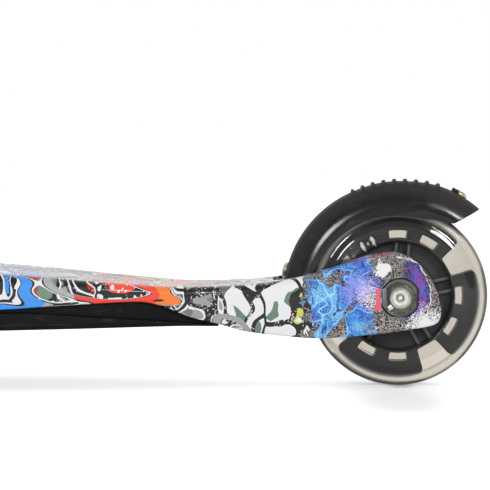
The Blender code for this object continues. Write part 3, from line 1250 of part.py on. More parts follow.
def ribbon(points, thickness):
    """The outline of a strip of even thickness along a path."""
    rows = []
    for i, point in enumerate(points):
        here = Vector(point)
        before = (here - Vector(points[i - 1])).normalized() if i else None
        after = (Vector(points[i + 1]) - here).normalized() if i + 1 < len(points) else None
        along = (before + after).normalized() if before and after else before or after
        normal = Vector((-along.y, along.x))
        widen = 1 / max(0.5, along.dot(after or before))
        rows.append((here + normal * thickness * widen / 2, here - normal * thickness * widen / 2))
    return [tuple(a) for a, b in rows] + [tuple(b) for a, b in reversed(rows)]


def release_button(build):
    bore = TUBE_RADIUS - TUBE_WALL
    seat = math.sqrt(bore ** 2 - BUTTON_FLANGE ** 2) - FIT
    back = seat - BUTTON_FLANGE_THICKNESS
    end = THUMB_DEPTH + BUTTON_STAND
    profile = [(0, end), (0.75 * BUTTON_RADIUS, end), (BUTTON_RADIUS, end - 0.25 * BUTTON_RADIUS),
               (BUTTON_RADIUS, seat), (BUTTON_FLANGE, seat), (BUTTON_FLANGE, back), (0, back)]
    turn = RAKED @ FORWARD
    place = along_column(BUTTON_UP)
    build.pivot("button_axis", place)
    build.add("release_button", turned(profile, 16), build.steel, place, turn)
    build.fixed()
    near = -back + FIT + LEAF_WALL / 2
    far = math.sqrt(bore ** 2 - (LEAF_WIDTH / 2) ** 2) - FIT - LEAF_WALL / 2
    path = [(near, LEAF_RISE), (near, -LEAF_DROP / 2), (near / 2, -LEAF_DROP), (far / 2, -LEAF_DROP),
            (far, -LEAF_DROP / 2), (far, LEAF_RISE)]
    leaf = prism([ribbon(path, LEAF_WALL)], -LEAF_WIDTH / 2, LEAF_WIDTH / 2)
    build.add("button_spring", leaf, build.steel, place, RAKED @ TO_CAMERA)


def handlebar(build):
    build.pivot("handlebar_slide", COLUMN_FOOT)
    radius = TUBE_RADIUS - TUBE_WALL - FIT
    under = BAR_PLACE - TEE_STEM_LENGTH
    top = BAR_PLACE - TEE_RADIUS / 2
    upper = moved(cylinder(radius, top - INNER_TUBE_START, 24), (0, 0, (top + INNER_TUBE_START) / 2))
    column = build.add("upper_column", upper, build.alloy, COLUMN_FOOT, RAKED)
    stem = moved(cylinder(TEE_STEM_RADIUS, TEE_STEM_LENGTH, 20), (0, 0, (under + BAR_PLACE) / 2))
    join(column, build.add("tee_stem", stem, None, COLUMN_FOOT, RAKED))
    cross = rod((0, -TEE_HALF_WIDTH, BAR_PLACE), (0, TEE_HALF_WIDTH, BAR_PLACE), TEE_RADIUS, 20)
    join(column, build.add("tee_cross", cross, None, COLUMN_FOOT, RAKED))
    hollow = rod((0, 0, 0), (0, 0, under), radius - INNER_TUBE_WALL, 16)
    cut(column, build.add("upper_column_bore", hollow, None, COLUMN_FOOT, RAKED))
    reach = 2 * TEE_HALF_WIDTH
    bar_room = rod((0, -reach, BAR_PLACE), (0, reach, BAR_PLACE), BAR_RADIUS + FIT, 20)
    cut(column, build.add("tee_bore", bar_room, None, COLUMN_FOOT, RAKED))
    place = along_column(BAR_PLACE)
    length = 2 * (BAR_HALF_WIDTH - GRIP_END - FIT)
    build.add("bar_tube", tube(BAR_RADIUS, BAR_RADIUS - BAR_WALL, length, 20), build.alloy, place, ALONG_Y)
    for label, side in SIDES:
        build.add(f"grip_{label}", grip_mesh(), build.rubber, place, sided(side))
    build.fixed()


def grip_mesh():
    """A ribbed rubber sleeve with a flange towards the middle and a closed outer end."""
    end, start = BAR_HALF_WIDTH, BAR_HALF_WIDTH - GRIP_LENGTH
    first, last = end - 3 * GRIP_TURN, start + 3 * GRIP_FLANGE
    pitch = (first - last) / GRIP_RIBS
    profile = [(0, end), (GRIP_RADIUS - GRIP_TURN, end), (GRIP_RADIUS, end - GRIP_TURN)]
    for rib in range(GRIP_RIBS):
        top = first - rib * pitch
        profile += [(GRIP_RADIUS, top), (GRIP_RADIUS - GRIP_RIB, top - 0.5 * pitch)]
    bore = BAR_RADIUS + FIT
    profile += [(GRIP_RADIUS, start + 2 * GRIP_FLANGE), (GRIP_FLANGE_RADIUS, start + GRIP_FLANGE),
                (GRIP_FLANGE_RADIUS, start), (bore, start), (bore, end - GRIP_END), (0, end - GRIP_END)]
    return turned(profile, 14)


def main():
    clear_scene()
    build = Builder()
    deck(build)
    belly_pan(build)
    rear_axle(build)
    rear = Vector((REAR_AXLE_X, 0, REAR_AXLE_Z))
    build.pivot("rear_wheel_axis", rear)
    wheel(build, "rear_wheel", rear, REAR_WHEEL_RADIUS, REAR_SIDES, True)
    build.fixed()
    brake(build)
    steering_head(build)
    truck(build)
    for label, side in SIDES:
        knuckle(build, label, side)
    tie_rod(build)
    lower_column(build)
    collar(build)
    release_button(build)
    handlebar(build)


main()
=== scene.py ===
"""Looks of a lean-steered kick scooter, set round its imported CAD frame.

Metres, +Z up, +X towards the rear wheel, -Y the side that the camera sees. Every mesh is made where it stands, so an
object's own coordinates are the frame's, and materials that read them stay with the piece when it moves.
"""

import json
from math import acos, cos, hypot, pi, radians, sin, sqrt, tan

import bmesh
import bpy
from bmesh import ops
from mathutils import Matrix, Vector

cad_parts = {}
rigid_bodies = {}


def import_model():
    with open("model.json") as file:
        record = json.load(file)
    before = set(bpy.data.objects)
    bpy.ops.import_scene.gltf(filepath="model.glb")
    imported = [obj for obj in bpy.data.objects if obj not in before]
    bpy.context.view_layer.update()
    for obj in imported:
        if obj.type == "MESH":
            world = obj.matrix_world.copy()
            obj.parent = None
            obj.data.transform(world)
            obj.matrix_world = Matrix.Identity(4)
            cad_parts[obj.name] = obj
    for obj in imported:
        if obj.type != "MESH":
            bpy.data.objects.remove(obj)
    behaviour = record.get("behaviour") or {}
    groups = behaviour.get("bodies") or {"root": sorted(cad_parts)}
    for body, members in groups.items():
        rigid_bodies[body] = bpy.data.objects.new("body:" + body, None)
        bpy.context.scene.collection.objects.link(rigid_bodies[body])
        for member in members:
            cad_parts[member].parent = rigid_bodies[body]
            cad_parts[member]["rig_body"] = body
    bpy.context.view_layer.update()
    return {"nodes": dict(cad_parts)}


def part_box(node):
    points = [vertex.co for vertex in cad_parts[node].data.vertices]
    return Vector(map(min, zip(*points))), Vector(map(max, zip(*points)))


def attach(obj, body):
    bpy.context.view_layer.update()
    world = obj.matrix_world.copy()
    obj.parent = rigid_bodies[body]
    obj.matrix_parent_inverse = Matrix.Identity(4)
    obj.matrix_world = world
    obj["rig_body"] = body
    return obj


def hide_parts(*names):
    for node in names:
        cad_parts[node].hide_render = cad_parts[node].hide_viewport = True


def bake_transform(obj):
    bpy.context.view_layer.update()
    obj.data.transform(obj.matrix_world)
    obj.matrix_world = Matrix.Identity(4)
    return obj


for leftover in list(bpy.data.objects):
    bpy.data.objects.remove(leftover)
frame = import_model()


def middle(node):
    low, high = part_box(node)
    return (low + high) / 2


def half_height(node):
    low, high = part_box(node)
    return (high.z - low.z) / 2


# Play between parts, how near two vertices are one, and how far the cutting shapes reach
FIT = 0.0003
WELD = 1e-6
CUT_LENGTH = 0.05
SIDES = (("left", -1), ("right", 1))
REAR_AXLE = middle("rear_wheel_tyre")

# Photograph: where the camera stood, from the rear axle
CAMERA_BACK = 1.519
CAMERA_LEFT = 0.0846
CAMERA_HEIGHT = 0.1358
CAMERA_PITCH = radians(2.2)
CAMERA_LENS = 200.9

# Wheels
REAR_WHEEL = 0.05
FRONT_WHEEL = 0.06
TYRE_WIDTH = 0.024
TYRE_SLOPE = (0.0113, 0.0072)
TYRE_SLOPE_ANGLES = (radians(10), radians(18))
GROOVE_IN_BAND = 0.00005
SHOULDER = 0.0042
SHOULDER_DROP = 0.0045
TREAD_CROWN = 0.55
WORN_FROM = 0.0024
WORN_TO = 0.0015
HAZY_FROM = 0.0062
HAZY_TO = 0.005
CORE_WIDTH = 0.019
TYRE_DEPTH = 0.0047
LOBE_DEPTH = 0.009
RING_DEPTH = 0.0068
WINDOW_COUNT = 12
NOTCH_EVERY = 3
ROUNDEL_NOTCH = 1
ROUNDEL_RADII = (0.0023, 0.0044)
ROUNDEL_DEPTH = 0.0031
ROUNDEL_ANGLE = radians(84)
ROUNDEL_ROUND = 0.0005
ROUNDEL_PIN = 0.0009
WINDOW_INSET = 0.0022
WINDOW_ANGLE = radians(17)
NOTCH_ANGLE = radians(22.5)
NOTCH_FOOT_ANGLE = radians(20.5)
NOTCH_RING_ANGLE = radians(21.7)
LOBE_ROUND = 0.0046
WINDOW_ROUND = 0.0009
WHEEL_TURN = radians(30)
HUB_WIDTH = 0.023
HUB_RADIUS = 0.0145
WEB_THICKNESS = 0.004
RIB_PAIRS = 5
RIB_SPREAD = 0.007
RIB_THICKNESS = 0.0018
RIB_WIDTH = 0.015
RIB_TURN = radians(12.5)
BEARING_RADIUS = 0.011
AXLE_RADIUS = 0.004

# Deck, as the source has it: (distance behind the rear axle, height above it), and plan
DECK_TOP = ((-0.412, 0.0165), (-0.25, 0.0165), (-0.221, 0.0148), (-0.189, 0.0122), (-0.152, 0.0088),
            (-0.115, 0.0064), (-0.088, 0.007), (-0.06, 0.0103), (-0.036, 0.0166), (-0.016, 0.0235),
            (-0.005, 0.0252), (0.004, 0.0229), (0.014, 0.0143), (0.0203, 0.0032), (0.0224, -0.004))
DECK_BOTTOM = ((-0.412, -0.005), (-0.25, -0.0056), (-0.216, -0.0047), (-0.183, -0.0027), (-0.142, -0.001),
               (-0.131, -0.003), (-0.114, -0.0099), (-0.099, -0.0138), (-0.083, -0.0181), (-0.066, -0.0203),
               (-0.046, -0.0219), (-0.014, -0.0199), (0.007, -0.0171), (0.0177, -0.0151), (0.0213, -0.013),
               (0.0224, -0.0095))
DECK_HALF_WIDTH = ((-0.412, 0.04), (-0.385, 0.047), (-0.34, 0.056), (-0.28, 0.0615), (-0.23, 0.062),
                   (-0.18, 0.0585), (-0.14, 0.0505), (-0.105, 0.0405), (-0.075, 0.036), (-0.04, 0.0338),
                   (0.0, 0.0322), (0.016, 0.0312), (0.0224, 0.03))
DECK_SHOULDER = ((-0.412, 0.005), (-0.216, 0.0058), (-0.13, 0.004), (-0.09, 0.0038), (-0.05, 0.0056),
                 (-0.01, 0.0024), (0.0224, 0.001))
DECK_FOOT = 0.0012
DECK_STATIONS = 150
DECK_CROWDING = 1.3
SLOT_HALF_WIDTH = 0.021
SLOT_FRONT = -0.069
SLOT_ROUND = 0.008
GROOVE_ROWS = 5
GROOVE_FIRST = -0.262
GROOVE_PITCH = 0.015
GROOVE_WIDTH = 0.003
GROOVE_LENGTH = 0.022
GROOVE_DEPTH = 0.0008
GROOVE_FROM_MIDDLE = 0.018

# Belly pan
PAN_BOTTOM = ((-0.4, -0.0125), (-0.37, -0.0158), (-0.33, -0.0166), (-0.235, -0.0166), (-0.216, -0.0162),
              (-0.152, -0.0151), (-0.12, -0.0147), (-0.099, -0.015))
PAN_LIP_TOP = ((-0.4, -0.008), (-0.33, -0.0068), (-0.205, -0.0066), (-0.163, -0.0092), (-0.12, -0.0123),
               (-0.099, -0.0142))
PAN_INSET = 0.005
PAN_LIP = 0.003
PAN_ROUND = 0.003
PAN_STATIONS = 90

# Axle inserts
INSERT_RADIUS = 0.0108
INSERT_FLAT = 0.0098
INSERT_FACE = 0.032
INSERT_POCKET_RADIUS = 0.0101
INSERT_POCKET_FLATS = (0.0073, 0.009)
INSERT_POCKET_DEPTH = 0.003
BOLT_HEAD_RADIUS = 0.0065
BOLT_HEAD_HEIGHT = 0.0048
HEX_KEY = 0.005
TAB_SIZE = 0.0027
TAB_PLACE = (-0.0052, -0.0052)
TAB_TURN = radians(32)

# Fender brake: (degrees about the rear axle, distance from it)
HINGE = Vector((-0.058, 0, -0.006))
FENDER_WALL = 0.0024
FENDER_HALF_WIDTH = 0.018
FENDER_ROUND_ACROSS = ((60, 0.012), (110, 0.008))
FENDER_ROUND_DOWN = ((60, 0.0145), (110, 0.0128))
FENDER_CAMBER = 0.0006
FENDER_CROWN = ((42, 0.0655), (56, 0.065), (69, 0.0642), (84, 0.0629), (96, 0.0625), (112, 0.062),
                (171, 0.0626), (180, 0.0628))
FENDER_SKIRT = ((52.8, 0.0503), (56, 0.0484), (62, 0.0472), (74, 0.0446), (92, 0.0444), (123, 0.0456),
                (150, 0.0472), (170, 0.048), (180, 0.049))
FENDER_TIP = (0.0452, 0.0478)
FENDER_ROOT = 0.04
LUG_RADIUS = 0.007
LUG_INNER = 0.009
HINGE_PIN_RADIUS = 0.0025
BAR_COUNT = 9
BAR_FIRST = 69.8
BAR_PITCH = 5.44
BAR_HEIGHT = 0.0013
BAR_FOOT = 1.05
BAR_ENDS = (0.8, 0.93)

# Screws on the fender: where they sit, in degrees about the rear axle
FENDER_SCREWS = (("rear", 58), ("front", 167))
SCREW_RADIUS = 0.004
SCREW_HEIGHT = 0.0024
HOOD_RADII = (0.0043, 0.0054)
HOOD_HEIGHT = 0.0016

# Springs between two bodies: which, the two bodies, and where along one axis of the spring's box a bend would start
# and end; each is left unbent where it stands
SPRINGS = (("lean_spring_left", "truck", "root", 0.0, 1.0, 2), ("lean_spring_right", "truck", "root", 0.0, 1.0, 2),
           ("brake_spring", "root", "brake", 0.35, 0.9, 2), ("button_spring", "release_button", "root", 0.1, 0.8, 0))

# Studio: soft boxes as (name, degrees round the line of sight, degrees off it, size across and out, watts)
ROOM_LEVEL = 0.74
ROOM_GRADE = ((0.0, (0.4, 0.4, 0.4)), (0.42, (0.45, 0.45, 0.45)), (0.62, (1, 1, 1)))
FLOOR_GLOW = 0.64
# Painted shadows on the floor: (centre from the rear axle in x and y, half sizes in x and y, how much camera glow
# each takes away)
FLOOR_PAINTED_SHADOWS = (((-0.003, -0.105), (0.042, 0.125), 0.49), ((0.0015, -0.012), (0.009, 0.014), 0.34))
FLOOR_SHOWN = 0.12
BOX_DISTANCE = 1.9
SOFT_BOXES = (("left_box", 140, 15, (0.26, 0.4), 5.0), ("right_box", 43, 28, (0.37, 0.34), 7.0))


# Meshes

def between(points, x):
    """Height of a smooth curve through (place, value) points that keeps to their rises and falls."""
    xs, ys = zip(*points)
    if not xs[0] < x < xs[-1]:
        return ys[0] if x <= xs[0] else ys[-1]
    i = max(k for k in range(len(xs) - 1) if xs[k] <= x)

    def slope(k):
        if k in (0, len(xs) - 1):
            return 0.0
        before = (ys[k] - ys[k - 1]) / (xs[k] - xs[k - 1])
        after = (ys[k + 1] - ys[k]) / (xs[k + 1] - xs[k])
        return 2 * before * after / (before + after) if before * after > 0 else 0.0

    span = xs[i + 1] - xs[i]
    t = (x - xs[i]) / span
    return ((1 + 2 * t) * (1 - t) ** 2 * ys[i] + t * (1 - t) ** 2 * span * slope(i)
            + t * t * (3 - 2 * t) * ys[i + 1] + t * t * (t - 1) * span * slope(i + 1))


def polar(distance, turn, centre=(0, 0)):
    return centre[0] + distance * cos(turn), centre[1] + distance * sin(turn)


def arc(radius, start, end, count, centre=(0, 0)):
    return [polar(radius, start + (end - start) * i / (count - 1), centre) for i in range(count)]


def circle(radius, count, centre=(0, 0)):
    return arc(radius, 0, 2 * pi, count + 1, centre)[:-1]


def rectangle(left, low, right, high):
    return [(left, low), (right, low), (right, high), (left, high)]


def mirrored(half):
    """A closed profile from the half of it above zero."""
    return half + [(r, -h) for r, h in reversed(half)]


def linked(name, data):
    obj = bpy.data.objects.new(name, data)
    bpy.context.scene.collection.objects.link(obj)
    return obj


def evaluated(obj):
    """The mesh that an object's curve or modifiers make."""
    graph = bpy.context.evaluated_depsgraph_get()
    return bpy.data.meshes.new_from_object(obj.evaluated_get(graph))


def opened(*meshes):
    bm = bmesh.new()
    for mesh in meshes:
        bm.from_mesh(mesh)
    return bm


def joined(bm, flat):
    """Join faces that turn by less than this many degrees."""
    ops.dissolve_limit(bm, angle_limit=radians(flat), verts=bm.verts, edges=bm.edges)


def bevelled(bm, sharp, width, segments=2):
    """Bevel edges that turn by more than this many degrees."""
    rims = [e for e in bm.edges if len(e.link_faces) == 2 and e.calc_face_angle() > radians(sharp)]
    ops.bevel(bm, geom=rims, offset=width, segments=segments, profile=0.5, affect="EDGES", clamp_overlap=True)


def closed_mesh(bm, name, smooth=35):
    ops.remove_doubles(bm, verts=bm.verts, dist=WELD)
    ops.dissolve_degenerate(bm, edges=bm.edges, dist=WELD / 10)
    ops.recalc_face_normals(bm, faces=bm.faces)
    mesh = bpy.data.meshes.new(name)
    bm.to_mesh(mesh)
    bm.free()
    mesh.shade_smooth()
    mesh.set_sharp_from_angle(angle=radians(smooth))
    return mesh


def skin(rings, name, smooth=35, round_again=False):
    """A skin through rings of points. Its ends are filled, or it comes round to the first ring."""
    bm = bmesh.new()
    rows = [[bm.verts.new(p) for p in ring] for ring in rings]
    for a, b in zip(rows, rows[1:] + rows[:round_again]):
        for i in range(len(a)):
            j = (i + 1) % len(a)
            bm.faces.new((a[i], a[j], b[j], b[i]))
    if not round_again:
        bm.faces.new(rows[0])
        bm.faces.new(rows[-1])
    return closed_mesh(bm, name, smooth)


def turned(profile, name, sides=96, smooth=35):
    """A closed profile of (radius, height) points, turned about Z."""
    turns = [2 * pi * i / sides for i in range(sides)]
    return skin([[(*polar(r, turn), h) for r, h in profile] for turn in turns], name, smooth, True)


def disc(radius, low, high, name, sides):
    return turned([(0, high), (radius, high), (radius, low), (0, low)], name, sides)


def prism(loops, low, high, name, bevel=0.0):
    """A flat outline with holes from height low to high, its edges rounded by the bevel."""
    curve = bpy.data.curves.new("outline", "CURVE")
    curve.dimensions = "2D"
    curve.fill_mode = "BOTH"
    curve.extrude = (high - low) / 2
    for points in loops:
        spline = curve.splines.new("POLY")
        spline.points.add(len(points) - 1)
        for place, (x, y) in zip(spline.points, points):
            place.co = (x, y, 0, 1)
        spline.use_cyclic_u = True
    holder = linked("outline", curve)
    mesh = evaluated(holder)
    bpy.data.objects.remove(holder)
    bm = opened(mesh)
    bpy.data.meshes.remove(mesh)
    ops.remove_doubles(bm, verts=bm.verts, dist=WELD)
    ops.translate(bm, vec=(0, 0, (low + high) / 2), verts=bm.verts)
    ops.recalc_face_normals(bm, faces=bm.faces)
    if bevel:
        joined(bm, 1)
        bevelled(bm, 50, bevel, 3)
    return closed_mesh(bm, name)


def moved(mesh, at=(0, 0, 0), turn=None):
    mesh.transform(Matrix.Translation(at) @ (turn.to_4x4() if turn else Matrix.Identity(4)))
    return mesh


def merged(meshes, name):
    return closed_mesh(opened(*meshes), name)


def cut_mesh(mesh, tools, operation="DIFFERENCE", smooth=35):
    """The mesh after Boolean operations with other meshes, one after another."""
    body = linked("body", mesh)
    holders = [linked("tool", tool) for tool in tools]
    for holder in holders:
        modifier = body.modifiers.new("boolean", "BOOLEAN")
        modifier.operation = operation
        modifier.object = holder
    made = evaluated(body)
    for obj in holders + [body]:
        bpy.data.objects.remove(obj)
    return closed_mesh(opened(made), mesh.name, smooth)


def softened(mesh, width, sharp):
    """The mesh with its sharp edges rounded."""
    bm = opened(mesh)
    joined(bm, 0.2)
    bevelled(bm, sharp, width)
    return closed_mesh(bm, mesh.name)


ALONG_Y = Matrix.Rotation(radians(-90), 3, "X")
TO_CAMERA = Matrix.Rotation(radians(90), 3, "X")


def sided(side):
    return TO_CAMERA if side < 0 else ALONG_Y


def piece(name, mesh, finish, body, *nodes):
    """A visible piece that moves with a body, or stays where it is made when given more than one, and stands for
    these CAD nodes.
    """
    obj = linked(name, mesh)
    material, slot = finish
    mesh.materials.clear()
    mesh.materials.append(material)
    if isinstance(body, str):
        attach(obj, body)
    else:
        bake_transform(obj)
    if nodes:
        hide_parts(*nodes)


def body_of(node):
    return frame["nodes"][node]["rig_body"]


def dressed(node, finish, bevel=0.0003, bodies=None):
    """The CAD node's own shape, welded, shaded smooth and with its edges broken."""
    bm = opened(frame["nodes"][node].data)
    ops.remove_doubles(bm, verts=bm.verts, dist=WELD)
    joined(bm, 0.5)
    ops.recalc_face_normals(bm, faces=bm.faces)
    bevelled(bm, 40, bevel)
    mesh = closed_mesh(bm, node)
    mesh.polygons.foreach_set("material_index", [0] * len(mesh.polygons))
    piece(f"{node}_dressed", mesh, finish, bodies or body_of(node), node)


# Materials

class Finish:
    """A shader whose nodes are added one after another."""

    def __init__(self, name, colour=(0.8, 0.8, 0.8), roughness=0.5, metallic=0.0, **sockets):
        self.material = bpy.data.materials.new(name)
        self.material.use_nodes = True
        self.tree = self.material.node_tree
        self.shader = self.tree.nodes["Principled BSDF"]
        sockets.update(base_color=colour, roughness=roughness, metallic=metallic)
        for key, value in sockets.items():
            self.set(key.replace("_", " ").title().replace("Ior", "IOR"), value)

    @classmethod
    def on(cls, tree, shader):
        """The same helpers on another node tree."""
        made = cls.__new__(cls)
        made.tree, made.shader = tree, tree.nodes[shader]
        return made

    def fill(self, socket, value):
        """Link a socket to another, or give it a value. A colour may come without its alpha."""
        if isinstance(value, bpy.types.NodeSocket):
            self.tree.links.new(value, socket)
        else:
            socket.default_value = (*value, 1) if socket.type == "RGBA" else value

    def set(self, socket, value):
        self.fill(self.shader.inputs[socket], value)

    def node(self, kind, inputs=None, **settings):
        made = self.tree.nodes.new("ShaderNode" + kind)
        for key, value in settings.items():
            setattr(made, key, value)
        for key, value in (inputs or {}).items():
            self.fill(made.inputs[key], value)
        return made

    def place(self, scale=(1, 1, 1), turn=(0, 0, 0), shift=(0, 0, 0), vector=None):
        """The frame's own coordinates, or another vector, stretched, turned and shifted."""
        where = vector or self.node("TexCoord").outputs["Object"]
        return self.node("Mapping", {"Vector": where, "Scale": scale, "Rotation": turn,
                                     "Location": shift}).outputs[0]

    def axes(self, vector):
        return self.node("SeparateXYZ", {"Vector": vector}).outputs

    def parts(self, colour):
        return self.node("SeparateColor", {"Color": colour}).outputs

    def noise(self, size, detail=2.0, distortion=0.0, vector=None, roughness=0.5):
        """Noise from 0 to 1, whose features are about this size in metres."""
        return self.node("TexNoise", {"Vector": vector or self.place(), "Scale": 1 / size, "Detail": detail,
                                      "Roughness": roughness, "Distortion": distortion}).outputs["Fac"]

    def cells(self, size, vector=None, output="Color", feature="F1", randomness=1.0):
        return self.node("TexVoronoi", {"Vector": vector or self.place(), "Scale": 1 / size,
                                        "Randomness": randomness}, feature=feature).outputs[output]

    def vectors(self, operation, inputs, output=0):
        return self.node("VectorMath", inputs, operation=operation).outputs[output]

    def maths(self, operation, a, b=0.0):
        return self.node("Math", {0: a, 1: b}, operation=operation).outputs[0]

    def plus(self, a, b):
        return self.maths("ADD", a, b)

    def less(self, a, b):
        return self.maths("SUBTRACT", a, b)

    def times(self, first, *others):
        for other in others:
            first = self.maths("MULTIPLY", first, other)
        return first

    def over(self, value, limit):
        return self.maths("GREATER_THAN", value, limit)

    def under(self, value, limit):
        return self.maths("LESS_THAN", value, limit)

    def near(self, value, centre, reach):
        """1 where the value lies within reach of the centre."""
        return self.under(self.maths("ABSOLUTE", self.less(value, centre)), reach)

    def length(self, x, z):
        return self.maths("SQRT", self.plus(self.times(x, x), self.times(z, z)))

    def spread(self, value, low, high, out_low=0.0, out_high=1.0):
        return self.node("MapRange", {"Value": value, "From Min": low, "From Max": high, "To Min": out_low,
                                      "To Max": out_high}).outputs[0]

    def ramp(self, value, stops, kind="LINEAR"):
        made = self.node("ValToRGB", {"Fac": value})
        made.color_ramp.interpolation = kind
        elements = made.color_ramp.elements
        while len(elements) < len(stops):
            elements.new(1.0)
        for element, (place, colour) in zip(elements, stops):
            element.position = place
            element.color = (*colour, 1)
        return made.outputs[0]

    def mix(self, share, a, b):
        return self.node("Mix", {0: share, 6: a, 7: b}, data_type="RGBA").outputs[2]

    def painted(self, base, *layers):
        """The base with (share, colour) layers over it, one after another."""
        for share, colour in layers:
            base = self.mix(share, base, colour)
        return base

    def bump(self, height, strength, distance):
        self.set("Normal", self.node("Bump", {"Height": height, "Strength": strength,
                                              "Distance": distance}).outputs[0])


def moulded_black(name, colour, roughness, grain=0.25, scuffs=0.5, sheen=0.5):
    """Moulded plastic: near black, with a soft sheen that varies, fine grain and faint scuffs."""
    made = Finish(name, colour, roughness, specular_ior_level=sheen)
    cloud = made.noise(0.03, 4)
    scuff = made.spread(made.noise(0.004, 6, 0.4, made.place((0.25, 1, 1.6))), 0.58, 0.8)
    tone = made.mix(made.spread(cloud, 0.35, 0.65), [c * 0.8 for c in colour], [c * 1.35 for c in colour])
    made.set("Base Color", made.mix(made.times(scuff, 0.35 * scuffs), tone, (0.16, 0.16, 0.155)))
    rough = made.spread(cloud, 0.3, 0.7, roughness - 0.05, roughness + 0.07)
    made.set("Roughness", made.plus(rough, made.times(scuff, 0.12 * scuffs)))
    made.bump(made.noise(0.0005, 3), grain, 0.00008)
    return made.material, "black_plastic"


def fender_finish():
    """Black plastic, satin on the flanks, and duller and a lighter brown on the crown and, less so, over the top
    towards the tail.
    """
    made = Finish("fender_black", (0.011, 0.011, 0.011), 0.2, specular_ior_level=0.46)
    x, _, z = made.axes(made.place(shift=(-REAR_AXLE.x, 0, -REAR_AXLE.z)))
    cloud = made.times(made.noise(0.006, 3), 0.003)
    crown = made.spread(made.plus(made.length(x, z), cloud), 0.056, 0.062)
    upper = made.times(made.spread(made.plus(z, cloud), 0.0485, 0.051), made.spread(x, 0.014, 0.024))
    scuff = made.spread(made.noise(0.0035, 6, 0.5, made.place((0.3, 1, 1.4))), 0.6, 0.78)
    # Lighter colour on the crown and over the top towards the tail
    made.set("Base Color", made.painted(
        (0.0052, 0.0055, 0.0062), (upper, (0.0085, 0.0082, 0.0078)), (crown, (0.0165, 0.0153, 0.0138)),
        (made.times(scuff, 0.1), (0.16, 0.15, 0.14))))
    rough = made.maths("MAXIMUM", made.spread(crown, 0, 1, 0.14, 0.72), made.spread(upper, 0, 1, 0.14, 0.34))
    made.set("Roughness", made.plus(rough, made.times(scuff, 0.1)))
    made.bump(made.noise(0.0006, 3), 0.18, 0.00006)
    return made.material, "black_plastic"


def urethane():
    """Clear cast urethane with a smoky tan tint, milky and then worn dull towards the tread."""
    made = Finish("smoky_urethane", (0.75, 0.69, 0.6), 0.0, transmission_weight=1.0, ior=1.47,
                  coat_weight=0.3, coat_roughness=0.12)
    worn, hazy = (made.node("Attribute", attribute_name=label).outputs["Fac"] for label in ("worn", "hazy"))
    clear = made.mix(made.noise(0.014, 3), (0.76, 0.7, 0.61), (0.69, 0.625, 0.53))
    made.set("Base Color", made.painted(clear, (hazy, (0.84, 0.78, 0.68)), (worn, (0.13, 0.125, 0.115))))
    made.set("Roughness", made.times(worn, 0.25))
    milky = made.plus(made.times(hazy, 0.35), made.times(worn, 0.15))
    made.set("Transmission Weight", made.less(1.0, milky))
    made.bump(made.noise(0.03, 1), 0.02, 0.0002)
    return made.material, "smoky_urethane"


def plated_steel(name, tint, roughness=0.32, dark=0.62):
    """Zinc-plated steel, mottled down to this share of its tint, with fine marks from turning."""
    made = Finish(name, tint, roughness, 1.0)
    mottle = made.noise(0.0022, 5, 0.6)
    made.set("Base Color", made.mix(mottle, [c * dark for c in tint], [min(1, c * 1.2) for c in tint]))
    made.set("Roughness", made.spread(made.noise(0.0012, 4), 0.3, 0.7, roughness - 0.1, roughness + 0.14))
    made.bump(made.noise(0.0006, 3), 0.3, 0.00006)
    return made.material, "zinc_steel"


def brushed_alloy(name, grain):
    """Brushed aluminium whose fine lines run along the tube; grain stretches the noise."""
    made = Finish(name, (0.75, 0.76, 0.78), 0.3, 1.0)
    lines = made.noise(0.0008, 4, 0.0, made.place(grain))
    made.set("Base Color", made.mix(made.noise(0.05, 3), (0.66, 0.67, 0.69), (0.8, 0.81, 0.83)))
    made.set("Roughness", made.spread(lines, 0.3, 0.7, 0.2, 0.42))
    made.bump(lines, 0.22, 0.00005)
    return made.material, "brushed_alloy"


def soft_rubber():
    made = Finish("grip_rubber", (0.024, 0.024, 0.026), 0.75)
    wear = made.noise(0.02, 5)
    made.set("Base Color", made.mix(wear, (0.016, 0.016, 0.018), (0.045, 0.045, 0.047)))
    made.set("Roughness", made.spread(wear, 0.3, 0.7, 0.66, 0.86))
    made.bump(made.noise(0.0007, 4), 0.5, 0.00015)
    return made.material, "soft_rubber"


BLACK = (0.008, 0.008, 0.009)
WHITE = (0.8, 0.8, 0.81)
GREY = (0.2, 0.18, 0.19)
PALETTES = (
    (0.0, ((0.0, (0.03, 0.28, 0.8)), (0.2, WHITE), (0.42, (0.1, 0.42, 0.88)), (0.55, (0.4, 0.05, 0.03)),
            (0.7, (0.2, 0.04, 0.32)), (0.8, WHITE))),
    (0.15, ((0.0, WHITE), (0.24, BLACK), (0.36, WHITE), (0.56, (0.16, 0.26, 0.19)), (0.68, (0.36, 0.35, 0.35)),
            (0.82, WHITE), (0.94, (0.55, 0.58, 0.14)))),
    (0.25, ((0.0, BLACK), (0.2, (0.9, 0.07, 0.03)), (0.62, BLACK), (0.8, (0.78, 0.04, 0.02)), (0.93, WHITE))),
    (0.37, ((0.0, (0.87, 0.17, 0.02)), (0.22, GREY), (0.44, (0.34, 0.33, 0.33)), (0.58, (0.92, 0.14, 0.03)),
            (0.68, WHITE), (0.84, (0.15, 0.13, 0.14)), (0.93, (0.9, 0.34, 0.08)))),
    (0.53, ((0.0, WHITE), (0.26, (0.3, 0.29, 0.29)), (0.38, WHITE), (0.9, (0.56, 0.58, 0.1)))))
MOSS = (0.14, 0.22, 0.16)


